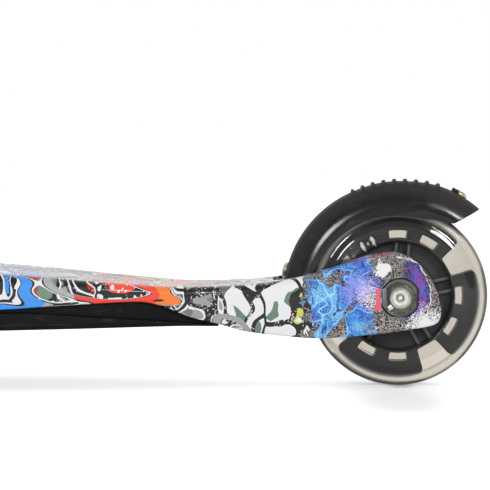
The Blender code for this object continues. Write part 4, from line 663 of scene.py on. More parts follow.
def street_print():
    """A film print over black nylon: outlined patches, dots, stripes and brush strokes, sprayed clouds, speckle."""
    made = Finish("printed_nylon", roughness=0.36, specular_ior_level=0.3, coat_weight=0.4, coat_roughness=0.08)
    mix, noise, spread, cells, plus, less = made.mix, made.noise, made.spread, made.cells, made.plus, made.less
    both, over, under, near = made.times, made.over, made.under, made.near
    here = made.place((1, 0.6, 1), shift=(-REAR_AXLE.x, 0, -REAR_AXLE.z))
    behind, _, above = made.axes(here)

    # The place, pushed about by noise, then slanted for the patches
    warp = made.node("TexNoise", {"Vector": here, "Scale": 1 / 0.02, "Detail": 1.0}).outputs["Color"]
    offset = made.vectors("SUBTRACT", {0: warp, 1: (0.5, 0.5, 0.5)})
    flow = made.vectors("ADD", {0: here, 1: made.vectors("SCALE", {0: offset, "Scale": 0.03})})
    slant = made.place((1, 1, 0.62), (0, radians(28), 0), vector=flow)
    draw = made.parts(cells(0.0125, slant))
    edge = cells(0.0125, slant, "Distance", "DISTANCE_TO_EDGE")
    length = made.maths("DIVIDE", plus(behind, 0.235), 0.265)
    zone = made.maths("PINGPONG", plus(less(length, 0.05), both(noise(0.012, 1), 0.1)), 1.0)
    fill = made.ramp(draw[0], PALETTES[0][1], "CONSTANT")
    for low, stops in PALETTES[1:]:
        fill = mix(over(zone, low), fill, made.ramp(draw[0], stops, "CONSTANT"))

    # In some patches dots, stripes, chips or a web of lines. All have a black outline, most a pale one within it
    dots = cells(0.0021, slant, "Distance", randomness=0.0)
    lines = made.node("TexWave", {"Vector": flow, "Scale": 1 / 0.012, "Distortion": 2.0, "Detail": 0.0},
                      wave_type="BANDS", bands_direction="DIAGONAL").outputs["Fac"]
    web = cells(0.0052, flow, "Distance", "DISTANCE_TO_EDGE")
    late, chip = over(zone, 0.53), made.parts(cells(0.0068, flow))[0]
    keyline = mix(over(draw[2], 0.88), WHITE, (0.6, 0.62, 0.1))
    fill = made.painted(
        fill,
        (both(under(dots, 0.3), over(draw[1], 0.8), under(draw[2], 0.7)), WHITE),
        (both(over(lines, 0.6), over(draw[1], 0.55), under(draw[1], 0.72), under(zone, 0.37)), BLACK),
        (both(late, over(chip, 0.74)), MOSS),
        (both(over(zone, 0.37), under(zone, 0.53), over(chip, 0.82)), GREY),
        (both(under(web, 0.085), under(draw[1], 0.22)), BLACK),
        (both(under(edge, 0.135), over(draw[2], 0.4)), keyline),
        (under(edge, spread(late, 0, 1, 0.07, 0.09)), BLACK))

    # Brush strokes across the patches, and speckle on the blacks
    sweep = noise(0.034, 1.0, 0.6, made.place((0.55, 0.8, 1.25), (0, radians(-20), 0)))
    paint = made.ramp(zone, ((0.0, (0.05, 0.3, 0.85)), (0.16, (0.42, 0.42, 0.42)), (0.24, (0.9, 0.06, 0.03)),
                             (0.38, (0.9, 0.22, 0.03)), (0.46, (0.36, 0.34, 0.35)), (0.6, WHITE)), "CONSTANT")
    for reach, colour in ((0.034, WHITE), (0.029, BLACK), (0.024, paint)):
        fill = mix(near(sweep, 0.56, reach), fill, colour)
    glitter = noise(0.0011, 1.0, 0.0, roughness=0.4)
    dark = under(made.parts(fill)[0], 0.02)
    fill = mix(both(dark, over(glitter, 0.6), over(noise(0.011, 2), 0.52)), fill, (0.55, 0.53, 0.52))

    # The arm: speckled black with blue brush strokes, a pale fade, purple and white spray
    grain = made.parts(cells(0.00037))[0]

    def sprayed(share):
        """Where spray paint lands: in fewer grains where it is thin."""
        return over(plus(share, both(grain, 0.98)), 0.99)

    def blot(across, up, radius, fringe):
        """Spray in a ragged round blot about a place near the axle, thinner across its fringe."""
        far = made.length(less(behind, across), less(above, up))
        ragged = plus(far, both(noise(0.008, 2), 0.014))
        return sprayed(spread(ragged, radius + 0.007 + fringe, radius + 0.007))

    dust = mix(noise(0.006, 1), (0.6, 0.47, 0.42), (0.5, 0.52, 0.52))
    stroke = noise(0.0125, 1.0, 0.9, made.place((1, 0.8, 1), (0, radians(35), 0)))
    blues = made.ramp(noise(0.01, 1), ((0.36, (0.02, 0.17, 0.7)), (0.48, (0.03, 0.3, 0.8)),
                                       (0.6, (0.16, 0.5, 0.86))))
    shore = plus(behind, spread(noise(0.01, 2), 0, 1, -0.013, 0.013))
    blue = both(spread(shore, -0.056, -0.047), spread(shore, -0.011, -0.022), over(stroke, 0.455))
    swirl = made.vectors("LENGTH", {0: made.place((1 / 0.015, 0, 1 / 0.0205), vector=here)}, "Value")
    swirl = plus(swirl, spread(noise(0.009, 2), 0, 1, -0.16, 0.16))
    beside = both(spread(behind, 0.0, 0.0085), spread(swirl, 1.16, 0.92))
    violet = mix(spread(noise(0.007, 1), 0.42, 0.58), (0.2, 0.06, 0.4), (0.08, 0.09, 0.46))
    rising = less(above, both(behind, 0.237))
    bar = plus(0.001, both(made.maths("ABSOLUTE", above), 0.12))
    arm = made.painted(
        BLACK,
        (spread(grain, 0.52, 0.86), dust),
        (both(blue, over(grain, 0.09)), blues),
        (both(blue, near(stroke, 0.515, 0.012)), (0.3, 0.66, 0.9)),
        (both(blue, near(stroke, 0.6, 0.016)), (0.02, 0.06, 0.3)),
        (both(blue, over(grain, 0.9)), (0.34, 0.56, 0.86)),
        (blot(-0.021, 0.004, 0.002, 0.013), (0.24, 0.28, 0.78)),
        (blot(-0.0165, 0.0, -0.002, 0.012), (0.76, 0.68, 0.78)),
        (sprayed(both(beside, 0.84)), violet),
        (both(near(swirl, 1.1, 0.022), over(behind, -0.002), over(grain, 0.28)), WHITE),
        (blot(0.014, -0.015, 0.0035, 0.01), WHITE),
        (blot(-0.01, 0.015, 0.0035, 0.0015), WHITE),
        (blot(-0.013, -0.0165, 0.0015, 0.0015), WHITE),
        (both(near(rising, 0.026, 0.0003), near(behind, -0.017, 0.0125)), (0.45, 0.04, 0.09)),
        (both(near(behind, -0.0121, bar), near(above, -0.001, 0.006)), (0.8, 0.11, 0.14)))
    made.set("Base Color", mix(over(plus(length, both(noise(0.009, 2), 0.14)), 0.76), fill, arm))
    made.set("Roughness", spread(noise(0.01, 4), 0.3, 0.7, 0.32, 0.46))
    made.bump(noise(0.0006, 3), 0.12, 0.00006)
    return made.material, "printed_nylon"


PRINT = street_print()
FENDER_BLACK = fender_finish()
PAN_BLACK = moulded_black("pan_black", (0.0045, 0.0045, 0.005), 0.5, sheen=0.12)
CORE_BLACK = moulded_black("core_black", (0.01, 0.0115, 0.017), 0.45, grain=0.05, scuffs=0.0, sheen=0.35)
WEB_BLACK = moulded_black("web_black", (0.042, 0.042, 0.044), 0.5, scuffs=0.2, sheen=0.35)
RIB_GREY = moulded_black("rib_grey", (0.075, 0.075, 0.08), 0.45, scuffs=0.2)
HEAD_BLACK = moulded_black("head_black", (0.014, 0.014, 0.015), 0.34)
SATIN_BLACK = moulded_black("satin_black", (0.02, 0.02, 0.021), 0.5, grain=0.5)
CLEAR = urethane()
STEEL = plated_steel("zinc_steel", (0.56, 0.56, 0.52))
AXLE_STEEL = plated_steel("axle_zinc", (0.66, 0.68, 0.62), 0.36, 0.8)
DISH_STEEL = plated_steel("dish_steel", (0.21, 0.215, 0.19), 0.3)
LINER_STEEL = plated_steel("liner_steel", (0.155, 0.16, 0.175), 0.36)
PALE_STEEL = plated_steel("pale_steel", (0.72, 0.68, 0.58), 0.26)
BRASSY_STEEL = plated_steel("brassy_steel", (0.66, 0.57, 0.4), 0.3)
BEARING_STEEL = (STEEL[0], "brushed_alloy")
ALLOY = brushed_alloy("column_alloy", (1, 1, 0.03))
BAR_ALLOY = brushed_alloy("bar_alloy", (1, 0.03, 1))
RUBBER = soft_rubber()


# Wheels

def wheel_radii(radius):
    lobe = radius - TYRE_DEPTH
    ring = lobe - LOBE_DEPTH
    return lobe, ring, ring - RING_DEPTH


def rounded(points, steps=5):
    """The outline of (x, y, reach) points, each rounded from that far before it to that far after it."""
    made = []
    for i, (x, y, reach) in enumerate(points):
        if not reach:
            made.append((x, y))
            continue
        here = Vector((x, y))
        before = Vector(points[i - 1][:2]) - here
        after = Vector(points[(i + 1) % len(points)][:2]) - here
        reach = min(reach, 0.48 * before.length, 0.48 * after.length)
        a, b = here + before.normalized() * reach, here + after.normalized() * reach
        for step in range(steps + 1):
            t = step / steps
            made.append(tuple(a * (1 - t) ** 2 + here * 2 * t * (1 - t) + b * t * t))
    return made


def eased(points, corners, reach):
    """The outline with only these of its corners rounded."""
    return rounded([(x, y, reach if i in corners else 0) for i, (x, y) in enumerate(points)], 3)


def core_outline(radius):
    """The core's outer edge: lobes with a gap between two of them at each notch."""
    lobe, ring, inner = wheel_radii(radius)
    side = ((inner + WINDOW_INSET, NOTCH_FOOT_ANGLE / 2, WINDOW_ROUND), (ring, NOTCH_RING_ANGLE / 2, 0),
            (lobe, NOTCH_ANGLE / 2, LOBE_ROUND))
    count = WINDOW_COUNT // NOTCH_EVERY
    gaps = [i for i in range(count) if i != ROUNDEL_NOTCH]
    points = []
    for gap, following in zip(gaps, gaps[1:] + [gaps[0] + count]):
        before = WHEEL_TURN + gap * 2 * pi / count
        after = WHEEL_TURN + following * 2 * pi / count
        points += [(*polar(distance, before + angle), reach) for distance, angle, reach in side]
        crest = arc(lobe, before + NOTCH_ANGLE / 2, after - NOTCH_ANGLE / 2, 28 * (following - gap))
        points += [(x, y, 0) for x, y in crest[5:-5]]
        points += [(*polar(distance, after - angle), reach) for distance, angle, reach in reversed(side)]
    return rounded(points)


def window_outline(radius, index):
    _, ring, inner = wheel_radii(radius)
    turn = WHEEL_TURN + index * 2 * pi / WINDOW_COUNT
    low, high = turn - WINDOW_ANGLE / 2, turn + WINDOW_ANGLE / 2
    points = arc(inner + WINDOW_INSET, low, high, 5) + arc(ring, high, low, 7)
    return eased(points, (0, 4, 5, 11), WINDOW_ROUND)


def roundel_outlines(radius):
    """Two slots that curve about a small hole, in the place of one gap."""
    turn = WHEEL_TURN + ROUNDEL_NOTCH * NOTCH_EVERY * 2 * pi / WINDOW_COUNT
    place = polar(wheel_radii(radius)[1] - ROUNDEL_DEPTH, turn)
    near, far = ROUNDEL_RADII
    loops = []
    for facing in (turn - pi / 2, turn + pi / 2):
        low, high = facing - ROUNDEL_ANGLE / 2, facing + ROUNDEL_ANGLE / 2
        points = arc(far, low, high, 9, place) + arc(near, high, low, 7, place)
        loops.append(eased(points, (0, 8, 9, 15), ROUNDEL_ROUND))
    return loops + [circle(ROUNDEL_PIN, 12, place)]


def core_mesh(radius):
    """The core's lobed ring."""
    windows = [window_outline(radius, i) for i in range(WINDOW_COUNT) if i % NOTCH_EVERY]
    bore = circle(wheel_radii(radius)[2], 96)
    loops = [core_outline(radius)] + windows + roundel_outlines(radius) + [bore]
    return prism(loops, -CORE_WIDTH / 2, CORE_WIDTH / 2, "core", 0.0003)


def web_mesh(radius):
    """The core's web, and the hub that holds the bearings."""
    rim, half, edge = wheel_radii(radius)[2] + 0.0005, HUB_WIDTH / 2, 0.0005
    web = turned(mirrored([(BEARING_RADIUS, WEB_THICKNESS / 2), (rim, WEB_THICKNESS / 2)]), "web")
    hub = [(HUB_RADIUS - edge, half), (HUB_RADIUS, half - edge), (HUB_RADIUS, edge - half),
           (HUB_RADIUS - edge, -half), (BEARING_RADIUS + edge, -half), (BEARING_RADIUS, edge - half),
           (BEARING_RADIUS, half - edge), (BEARING_RADIUS + edge, half)]
    return merged([web, turned(hub, "hub", 64)], "web")


def rib_mesh(radius, paired):
    low, high, half = HUB_RADIUS - 0.0004, wheel_radii(radius)[2] + 0.0004, RIB_THICKNESS / 2
    ribs = []
    for pair in range(RIB_PAIRS):
        turn = Matrix.Rotation(RIB_TURN + pair * 2 * pi / RIB_PAIRS, 3, "Z")
        for side in (-1, 1) if paired else (0,):
            place = side * RIB_SPREAD / 2
            outline = rectangle(low, place - half, high, place + half)
            ribs.append(moved(prism([outline], -RIB_WIDTH / 2, RIB_WIDTH / 2, "rib", 0.0003), turn=turn))
    return merged(ribs, "ribs")


def tyre_profile(radius, contact):
    """The tyre's section: bore, grooved inner band, slope, side, shoulder and crowned tread, on both sides."""
    inner = wheel_radii(radius)[2] + FIT
    half = TYRE_WIDTH / 2
    slope, foot = radius - TYRE_SLOPE[0], radius - TYRE_SLOPE[1]
    steps, ease = 8, 0.0005
    first, last = TYRE_SLOPE_ANGLES
    drops = [0.0]
    for step in range(steps):
        tilt = first + (last - first) * (step + 0.5) / steps
        drops.append(drops[-1] + (foot - slope) / steps * tan(tilt))
    side = half - drops[-1]
    upper = [(inner, half - 0.0006), (inner + 0.0006, half)]
    place = inner + 0.0012
    while place < slope - 0.0012:
        upper += [(place, half), (place + 0.00022, half - GROOVE_IN_BAND), (place + 0.00044, half)]
        place += 0.00125
    upper.append((slope - ease, half))
    upper += [(slope + (foot - slope) * step / steps, half - drops[step]) for step in range(1, steps)]
    upper += [(foot + ease, side), (contact - HAZY_FROM, side), (contact - SHOULDER - 0.0006, side)]
    upper += [(contact - SHOULDER + SHOULDER * sin(a) * 0.98, side - SHOULDER_DROP * (1 - cos(a)))
              for a in [radians(s) for s in range(6, 91, 7)]]
    return mirrored(upper + [(contact, upper[-1][1] * TREAD_CROWN)])


def tyre_mesh(radius, contact):
    """The tyre, whose vertices carry how worn and how hazy they are: 1 on the tread, 0 further in."""
    mesh = turned(tyre_profile(radius, contact), "tyre", 160, 50)
    for label, low, high in (("worn", WORN_FROM, WORN_TO), ("hazy", HAZY_FROM, HAZY_TO)):
        marks = mesh.attributes.new(label, "FLOAT", "POINT")
        for vertex, mark in zip(mesh.vertices, marks.data):
            distance = hypot(vertex.co.x, vertex.co.y)
            mark.value = max(0.0, min(1.0, (distance - contact + low) / (low - high)))
    return mesh


def bearing_face(node_middle, side):
    """A bearing as it shows: outer race, dished shield with its lip, and inner race."""
    seat, half, bore = BEARING_RADIUS, 0.0035, AXLE_RADIUS + FIT
    profile = [(seat, half - 0.0002), (seat - 0.0002, half), (seat - 0.0014, half), (seat - 0.0015, half - 0.0004),
               (0.0068, half - 0.0007), (0.0062, half - 0.0004), (0.0061, half), (bore + 0.0002, half),
               (bore, half - 0.0002)]
    return moved(turned(mirrored(profile), "bearing", 64), node_middle, sided(side))


def dress_wheel(name, radius, paired):
    tyre, core = f"{name}_tyre", f"{name}_core"
    centre, body = middle(tyre), body_of(tyre)
    for label, mesh, finish, nodes in (
            ("clear_tyre", tyre_mesh(radius, half_height(tyre)), CLEAR, [tyre]),
            ("lobed_core", core_mesh(radius), CORE_BLACK, [core]),
            ("web", web_mesh(radius), WEB_BLACK, []),
            ("spokes", rib_mesh(radius, paired), RIB_GREY, [])):
        piece(f"{name}_{label}", moved(mesh, centre, TO_CAMERA), finish, body, *nodes)
    for label, side in SIDES:
        node = f"{name}_bearing_{label}"
        piece(f"{node}_shielded", bearing_face(middle(node), side), BEARING_STEEL, body, node)
    dressed(f"{name}_bearing_spacer", ALLOY)


# Deck

def at_rear(d, side, other):
    """A ring this far behind the axle: the points of its one side, and the mirror image of these others."""
    points = side + [(-y, z) for y, z in reversed(other)]
    return [(REAR_AXLE.x + d, y, REAR_AXLE.z + z) for y, z in points]


def deck_ring(d):
    half, top, bottom = between(DECK_HALF_WIDTH, d), between(DECK_TOP, d), between(DECK_BOTTOM, d)
    shoulder = min(between(DECK_SHOULDER, d), 0.45 * (top - bottom))
    foot = min(DECK_FOOT, 0.2 * (top - bottom))
    side = [((half - shoulder) * share, top) for share in (0.0, 0.25, 0.5, 0.75)]
    side += arc(shoulder, pi / 2, 0, 10, (half - shoulder, top - shoulder))
    side += arc(foot, 0, -pi / 2, 5, (half - foot, bottom + foot))
    return at_rear(d, side, side[1:])


def slot_outline():
    front, back = SLOT_FRONT, DECK_TOP[-1][0] + SLOT_ROUND
    right = arc(SLOT_ROUND, pi, pi / 2, 16, (front + SLOT_ROUND, SLOT_HALF_WIDTH - SLOT_ROUND))
    right.append((back, SLOT_HALF_WIDTH))
    return [(REAR_AXLE.x + x, y) for x, y in mirrored(right)]


def insert_outline(grow=0.0):
    radius = INSERT_RADIUS + grow
    lean = acos((INSERT_FLAT + grow) / radius)
    points = arc(radius, lean, pi - lean, 40)
    points += arc(radius, pi + lean, 1.5 * pi - lean, 12)
    return points + arc(radius, 1.5 * pi + lean, 2 * pi - lean, 12)


def for_side(points, side):
    return points if side < 0 else [(x, -y) for x, y in points]


def groove_tools():
    near, far, half = GROOVE_FROM_MIDDLE, GROOVE_FROM_MIDDLE + GROOVE_LENGTH, GROOVE_WIDTH / 2
    outline = arc(half, -pi / 2, pi / 2, 9, (far - half, 0)) + arc(half, pi / 2, 1.5 * pi, 9, (near + half, 0))
    top = REAR_AXLE.z + DECK_TOP[0][1]
    tools = []
    for row in range(GROOVE_ROWS):
        x = REAR_AXLE.x + GROOVE_FIRST - row * GROOVE_PITCH
        for side in (-1, 1):
            flat = [(x + b, side * a) for a, b in outline]
            tools.append(prism([flat], top - GROOVE_DEPTH, top + GROOVE_DEPTH, "groove"))
    return merged(tools, "grooves")


def dress_deck():
    first, last = DECK_TOP[0][0], DECK_TOP[-1][0]
    shares = [(1 - i / (DECK_STATIONS - 1)) ** DECK_CROWDING for i in range(DECK_STATIONS)]
    shell = skin([deck_ring(last - (last - first) * share) for share in shares], "deck", 40)
    tools = [prism([slot_outline()], 0, 0.2, "slot"), groove_tools()]
    for _, side in SIDES:
        hole = prism([for_side(insert_outline(FIT), side)], 0.019, CUT_LENGTH, "insert_hole")
        tools.append(moved(hole, REAR_AXLE, sided(side)))
    piece("printed_deck", cut_mesh(shell, tools, smooth=40), PRINT, "root", "deck_shell")


def pan_ring(d):
    wall = between(DECK_HALF_WIDTH, d) - PAN_INSET
    lip = wall + PAN_LIP
    top, edge, bottom = between(DECK_BOTTOM, d) - FIT, between(PAN_LIP_TOP, d), between(PAN_BOTTOM, d)
    turn, brim = min(PAN_ROUND, 0.6 * (edge - bottom)), min(0.0006, 0.2 * (edge - bottom))
    side = [(wall, top), (wall, edge + 0.0002), (wall + 0.0003, edge)]
    side += arc(brim, pi / 2, 0, 4, (lip - brim, edge - brim))
    side += arc(turn, 0, -pi / 2, 8, (lip - turn, bottom + turn))
    return at_rear(d, side, side)


def dress_pan():
    first, last = PAN_BOTTOM[0][0], PAN_BOTTOM[-1][0]
    rings = [pan_ring(first + (last - first) * i / (PAN_STATIONS - 1)) for i in range(PAN_STATIONS)]
    holes = []
    for index in range(4):
        low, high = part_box(f"pan_screw_{index + 1}")
        spot = (low + high) / 2
        sink = disc((high.x - low.x) / 2 + FIT, -0.004, 0.0026, "sink", 32)
        holes.append(moved(sink, (spot.x, spot.y, low.z)))
    pan = cut_mesh(skin(rings, "pan", 40), [merged(holes, "sinks")], smooth=40)
    piece("two_tone_pan", pan, PAN_BLACK, "root", "belly_pan")


# Axle inserts, bolt and nut

def pocket_outline(shrink=0.0):
    """The pocket in an insert: round, with a deep flat on the front side and a shallow one behind."""
    radius = INSERT_POCKET_RADIUS - shrink
    front, back = (acos((flat - shrink) / radius) for flat in INSERT_POCKET_FLATS)
    return arc(radius, back, pi - front, 40) + arc(radius, pi + front, 2 * pi - back, 40)


def dish_mesh(seat):
    """A dished washer that lines the pocket."""
    bore = AXLE_RADIUS + FIT
    rise = ((bore, 0.0002), (0.0062, 0.0002), (0.0068, 0.0005), (0.0076, 0.0007), (0.0082, 0.0011),
            (0.0092, 0.0019), (0.0104, 0.0023), (0.0104, 0.0016), (0.009, 0.001), (0.008, 0.0003), (bore, 0))
    fit = prism([pocket_outline(0.0001)], 0, CUT_LENGTH, "fit")
    return cut_mesh(turned([(r, seat + h) for r, h in rise], "dish", 96), [fit], "INTERSECT")


def tab_mesh(seat):
    """The washer's locking tab, bent up out of its dish."""
    size, leg, rise = TAB_SIZE / 2, 0.0007, 0.0015
    fold = [(-size, 0.0), (size, 0.0), (size, 0.0006), (-size + leg, 0.0006), (-size + leg, rise),
            (-size, rise)]
    strip = moved(prism([fold], -size, size, "tab", 0.00015), turn=TO_CAMERA)
    lean = Matrix.Rotation(TAB_TURN, 3, "Z") @ Matrix.Rotation(radians(-9), 3, "Y")
    return moved(strip, (*TAB_PLACE, seat + 0.0012), lean)


def bolt_mesh(seat):
    """The axle bolt: a rounded head, a hexagon key with a dome in it, and a chamfered shank."""
    radius, height, shank, edge = BOLT_HEAD_RADIUS, BOLT_HEAD_HEIGHT, AXLE_RADIUS, 0.0006
    end = -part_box("rear_axle_bolt")[1].y
    rings = ((0, 0.93), (0.46, 0.93), (0.5, 0.97), (0.58, 0.985), (0.63, 0.97), (0.66, 0.92), (0.7, 0.9),
             (0.8, 0.84), (0.9, 0.7), (0.97, 0.5), (1.0, 0.3), (1.0, 0.0))
    profile = [(radius * a, seat + height * b) for a, b in rings]
    profile += [(shank, seat), (shank, end + edge), (shank - edge, end), (0, end)]
    key = [polar(HEX_KEY / sqrt(3), radians(a)) for a in range(30, 390, 60)]
    socket = prism([key], seat + 0.5 * height, seat + 2 * height, "socket")
    rings = ((0, 0.86), (0.0007, 0.84), (0.0014, 0.78), (0.002, 0.68), (0.0022, 0.58), (0.0022, 0.45), (0, 0.45))
    dome = turned([(r, seat + height * b) for r, b in rings], "dome", 48)
    return merged([cut_mesh(turned(profile, "bolt", 96), [socket]), dome], "bolt")


def dress_axle():
    seat = INSERT_FACE - INSERT_POCKET_DEPTH

    def seated(name, mesh, finish, side, *nodes):
        """A piece of the root, built up from the axle towards a side."""
        piece(name, moved(mesh, REAR_AXLE, sided(side)), finish, "root", *nodes)

    for label, side in SIDES:
        block = prism([for_side(insert_outline(), side)], SLOT_HALF_WIDTH, INSERT_FACE, "insert", 0.0005)
        pocket = prism([for_side(pocket_outline(), side)], seat, CUT_LENGTH, "pocket")
        bore = disc(AXLE_RADIUS + FIT, 0, CUT_LENGTH, "bore", 48)
        seated(f"axle_insert_{label}_moulded", cut_mesh(block, [pocket, bore]), SATIN_BLACK, side,
            f"axle_insert_{label}")
        dish = moved(dish_mesh(seat), turn=Matrix.Diagonal((1, -side, 1)))
        if side > 0:
            dish.flip_normals()
        seated(f"axle_dish_{label}", dish, DISH_STEEL, side)
        low, high = INSERT_FLAT + 0.0001, INSERT_POCKET_FLATS[0] + 0.0001
        edge = [(-low, 0.0045), (-low, -0.0045), (-high, -0.0066), (-high, 0.0066)]
        liner = prism([for_side(edge, side)], INSERT_FACE - 0.0006, INSERT_FACE + 0.0001, "liner", 0.00015)
        seated(f"axle_liner_{label}", liner, LINER_STEEL, side)
        dressed(f"rear_spacer_{label}", ALLOY)
    seated("axle_washer_tab", tab_mesh(seat), AXLE_STEEL, -1)
    seated("domed_axle_bolt", bolt_mesh(seat + FIT), AXLE_STEEL, -1, "rear_axle_bolt")
    dressed("rear_axle_nut", STEEL, 0.0004)


# Fender brake

def radial(angle, distance, across=0.0):
    x, z = polar(distance, radians(angle))
    return Vector((REAR_AXLE.x + x, across, REAR_AXLE.z + z))


def on_crown(angle):
    return radial(angle, between(FENDER_CROWN, angle) + FENDER_CAMBER)


def bar_rise(angle):
    """How far a transverse bar lifts the crown at an angle."""
    index = round((angle - BAR_FIRST) / BAR_PITCH)
    off = abs(angle - BAR_FIRST - index * BAR_PITCH) / BAR_FOOT
    if off >= 1 or not 0 <= index < BAR_COUNT:
        return 0.0
    return BAR_HEIGHT * min(1.0, 2.2 * (1 - off))


def fender_ring(angle):
    crown, rise = between(FENDER_CROWN, angle), bar_rise(angle)
    half, wall = FENDER_HALF_WIDTH, FENDER_WALL
    across, down = between(FENDER_ROUND_ACROSS, angle), between(FENDER_ROUND_DOWN, angle)
    outer = [(half, FENDER_ROOT)]
    steps = 24
    for step in range(steps):
        turn = radians(90 * step / steps)
        share = max(0.0, min(1.0, (sin(turn) - BAR_ENDS[0]) / (BAR_ENDS[1] - BAR_ENDS[0])))
        lift = rise * sqrt(share * (2 - share))
        outer.append((half - across + across * cos(turn), crown - down + down * sin(turn) + lift))
    outer += [((half - across) * share, crown + rise + FENDER_CAMBER * (1 - share ** 2))
              for share in (1.0, 0.66, 0.33)]
    inner = []
    for step in range(8, -1, -1):
        turn = radians(90 * step / 8)
        inner.append((half - across + (across - wall) * cos(turn), crown - down + (down - wall) * sin(turn)))
    inner.append((half - wall, FENDER_ROOT))
    points = outer + [(0, crown + rise + FENDER_CAMBER)]
    points += [(-y, r) for y, r in reversed(outer)] + [(-y, r) for y, r in reversed(inner)] + inner
    return [radial(angle, r, y) for y, r in points]


def fender_angles():
    """Every so many degrees, but closer together on the foot, flank and top of each bar."""
    first, last = FENDER_CROWN[0][0], FENDER_CROWN[-1][0]
    angles = {first + i * 1.5 for i in range(int((last - first) / 1.5) + 1)} | {last}
    for bar in range(BAR_COUNT):
        place = BAR_FIRST + bar * BAR_PITCH
        angles = {a for a in angles if abs(a - place) > BAR_FOOT + 0.2}
        for share in (0, 0.25, 0.5, 0.75, 0.95, 1.05):
            angles |= {place - BAR_FOOT * share, place + BAR_FOOT * share}
    return sorted(angles)


def fender_trim():
    """The side view that the fender is cut to: from its skirt and pointed tail outwards."""
    first, last = FENDER_SKIRT[0][0], FENDER_SKIRT[-1][0]
    count = 80
    angles = [first + (last - first) * i / (count - 1) for i in range(count)]
    points = [polar(between(FENDER_SKIRT, angle), radians(angle)) for angle in angles]
    points += arc(1.3 * FENDER_CROWN[0][1], radians(last), radians(first), 24)
    corner, tip = Vector(points[0]), Vector(FENDER_TIP)
    points.append(tuple(tip + (tip - corner)))
    return moved(prism([points], -0.04, 0.04, "trim"), REAR_AXLE, TO_CAMERA)


def screw_turn(angle):
    return Matrix.Rotation(radians(90 - angle), 3, "Y")


def screw_head():
    """A pan head with a crossed recess, its underside at local zero."""
    radius, height = SCREW_RADIUS, SCREW_HEIGHT
    rings = ((0, 1.0), (0.35, 0.98), (0.65, 0.88), (0.85, 0.7), (0.97, 0.45), (1.0, 0.25), (1.0, 0.0), (0.97, -0.1),
             (0.5, -0.3), (0, -0.3))
    head = turned([(radius * a, height * b) for a, b in rings], "screw", 40)
    arm, half = 0.62 * radius, 0.0005
    return cut_mesh(head, [prism([rectangle(-a, -b, a, b)], 0.5 * height, 2 * height, "cross")
                           for a, b in ((arm, half), (half, arm))])


def dress_fender():
    hinge, low, high, edge = REAR_AXLE + HINGE, LUG_INNER, FENDER_HALF_WIDTH, 0.0005
    shell = skin([fender_ring(angle) for angle in fender_angles()], "fender", 30)
    shell = cut_mesh(shell, [fender_trim()], "INTERSECT", 30)
    lug = [(0, high), (LUG_RADIUS - edge, high), (LUG_RADIUS, high - edge), (LUG_RADIUS, low + edge),
           (LUG_RADIUS - edge, low), (0, low)]
    shell = cut_mesh(shell, [moved(turned(lug, "lug", 48), hinge, sided(side)) for _, side in SIDES], "UNION", 30)
    bore = moved(disc(HINGE_PIN_RADIUS + FIT, -CUT_LENGTH, CUT_LENGTH, "bore", 32), hinge, ALONG_Y)
    shell = softened(cut_mesh(shell, [bore], "DIFFERENCE", 30), 0.0004, 55)
    piece("ridged_fender", shell, FENDER_BLACK, "brake", "fender")
    dressed("brake_pad", STEEL)
    for (label, angle), finish in zip(FENDER_SCREWS, (BRASSY_STEEL, PALE_STEEL)):
        piece(f"fender_screw_{label}_crossed", moved(screw_head(), on_crown(angle), screw_turn(angle)), finish,
              "brake", f"fender_screw_{label}")
    (inner, outer), start, end = HOOD_RADII, radians(112), radians(248)
    hood = prism([arc(outer, start, end, 24) + arc(inner, end, start, 24)], -0.0012, HOOD_HEIGHT, "hood", 0.0003)
    angle = FENDER_SCREWS[0][1]
    piece("screw_hood", moved(hood, on_crown(angle), screw_turn(angle)), FENDER_BLACK, "brake")
    dressed("hinge_pin", STEEL)


# The other nodes, whose own shape is kept

def across(node, low, high, axis):
    """Two points in the node's middle, at these shares of its box along an axis."""
    start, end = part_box(node)
    points = []
    for share in (low, high):
        spot = (start + end) / 2
        spot[axis] = start[axis] + (end[axis] - start[axis]) * share
        points.append(tuple(spot))
    return points


def dress_rest():
    for node in ("pan_screw_1", "pan_screw_2", "pan_screw_3", "pan_screw_4", "head_screw_left", "head_screw_right",
                 "pivot_pin", "drive_pin", "clamp_bolt", "kingpin_left", "kingpin_right", "front_axle_nut_left",
                 "front_axle_nut_right", "tie_rod", "clamp_pin", "release_button"):
        dressed(node, STEEL, 0.0002)
    for node, first, second, low, high, axis in SPRINGS:
        dressed(node, STEEL, 0.0002, (first, second, *across(node, low, high, axis)))
    for node in ("steering_head", "knuckle_left", "knuckle_right", "column_collar", "clamp_lever"):
        dressed(node, HEAD_BLACK, 0.0005)
    dressed("truck_beam", ALLOY, 0.0004)
    for node, finish in (("lower_column", ALLOY), ("upper_column", ALLOY), ("bar_tube", BAR_ALLOY),
                         ("grip_left", RUBBER), ("grip_right", RUBBER)):
        dressed(node, finish)


# Studio

def camera():
    data = bpy.data.cameras.new("camera")
    data.lens = CAMERA_LENS
    data.sensor_width = 36
    made = linked("camera", data)
    made.location = (REAR_AXLE.x - CAMERA_LEFT, -CAMERA_BACK, CAMERA_HEIGHT)
    made.rotation_euler = (radians(90) - CAMERA_PITCH, 0, 0)
    bpy.context.scene.camera = made


def soft_box(name, turn, off, size, power):
    """A soft box that faces the rear axle, its long side across the line out from the line of sight."""
    data = bpy.data.lights.new(name, "AREA")
    data.shape = "ELLIPSE"
    data.size, data.size_y = size
    data.energy = power
    turn, off = radians(turn), radians(off)
    side = Vector((-sin(turn), 0, cos(turn)))
    towards = Vector((cos(turn) * sin(off), -cos(off), sin(turn) * sin(off)))
    made = linked(name, data)
    made.location = REAR_AXLE + towards * BOX_DISTANCE
    made.visible_transmission = False
    made.rotation_euler = Matrix((side, towards.cross(side), towards)).transposed().to_euler()


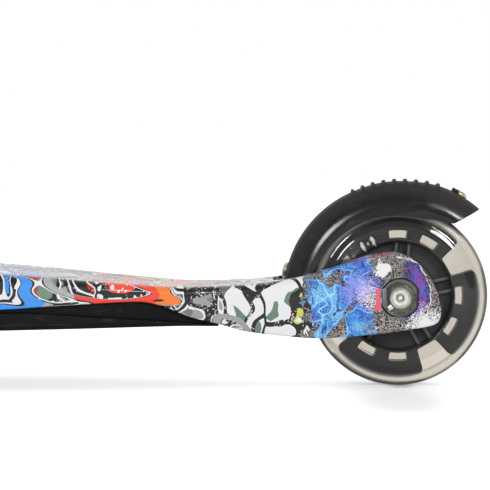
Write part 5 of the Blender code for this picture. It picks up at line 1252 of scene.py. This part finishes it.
def floor_finish():
    """White paper: it takes the scooter's shadow, and rays that look at it see it paler, but in soft ellipses at the
    wheel's foot and towards the camera that glow is lowered, a painted shadow.
    """
    made = Finish("paper", (0.9, 0.9, 0.9), 0.9, specular_ior_level=0.0)
    camera_ray, shown = rays(made)
    glow = FLOOR_GLOW
    # Painted shadow: the camera's glow drops in soft ellipses at the wheel's foot and towards the camera
    for (x, y), (wide, long), depth in FLOOR_PAINTED_SHADOWS:
        centred = made.place(shift=(-REAR_AXLE.x - x, -y, 0))
        far = made.vectors("LENGTH", {0: made.place((1 / wide, 1 / long, 0), vector=centred)}, "Value")
        glow = made.less(glow, made.spread(far, 1.15, 0.3, 0, depth))
    made.set("Emission Color", (1, 1, 1))
    made.set("Emission Strength", made.plus(made.times(camera_ray, glow), made.times(shown, FLOOR_SHOWN)))
    return made.material


def rays(made):
    """Whether a ray is the camera's, and whether it went through or off something to get here."""
    path = made.node("LightPath").outputs
    return path["Is Camera Ray"], made.maths("MAXIMUM", path["Is Transmission Ray"], path["Is Glossy Ray"])


def studio():
    """A white room that is dimmer on the camera's side, two soft boxes, and a white paper floor."""
    world = bpy.data.worlds.new("studio")
    world.use_nodes = True
    bpy.context.scene.world = world
    room = Finish.on(world.node_tree, "Background")
    room.set("Strength", room.spread(room.maths("MAXIMUM", *rays(room)), 0, 1, ROOM_LEVEL, 1.0))
    depth = room.axes(room.node("TexCoord").outputs["Generated"])[1]
    grade = room.ramp(room.spread(depth, -1, 1), ROOM_GRADE)
    room.set("Color", room.mix(room.node("LightPath").outputs["Is Glossy Ray"], (1, 1, 1), grade))

    mesh = bpy.data.meshes.new("floor")
    bm = bmesh.new()
    ops.create_grid(bm, x_segments=1, y_segments=1, size=6)
    bm.to_mesh(mesh)
    bm.free()
    mesh.materials.append(floor_finish())
    linked("floor", mesh)

    for box in SOFT_BOXES:
        soft_box(*box)


bpy.context.scene.view_settings.view_transform = "Standard"
camera()
studio()
dress_wheel("rear_wheel", REAR_WHEEL, True)
for label, _ in SIDES:
    dress_wheel(f"front_wheel_{label}", FRONT_WHEEL, False)
dress_deck()
dress_pan()
dress_axle()
dress_fender()
dress_rest()
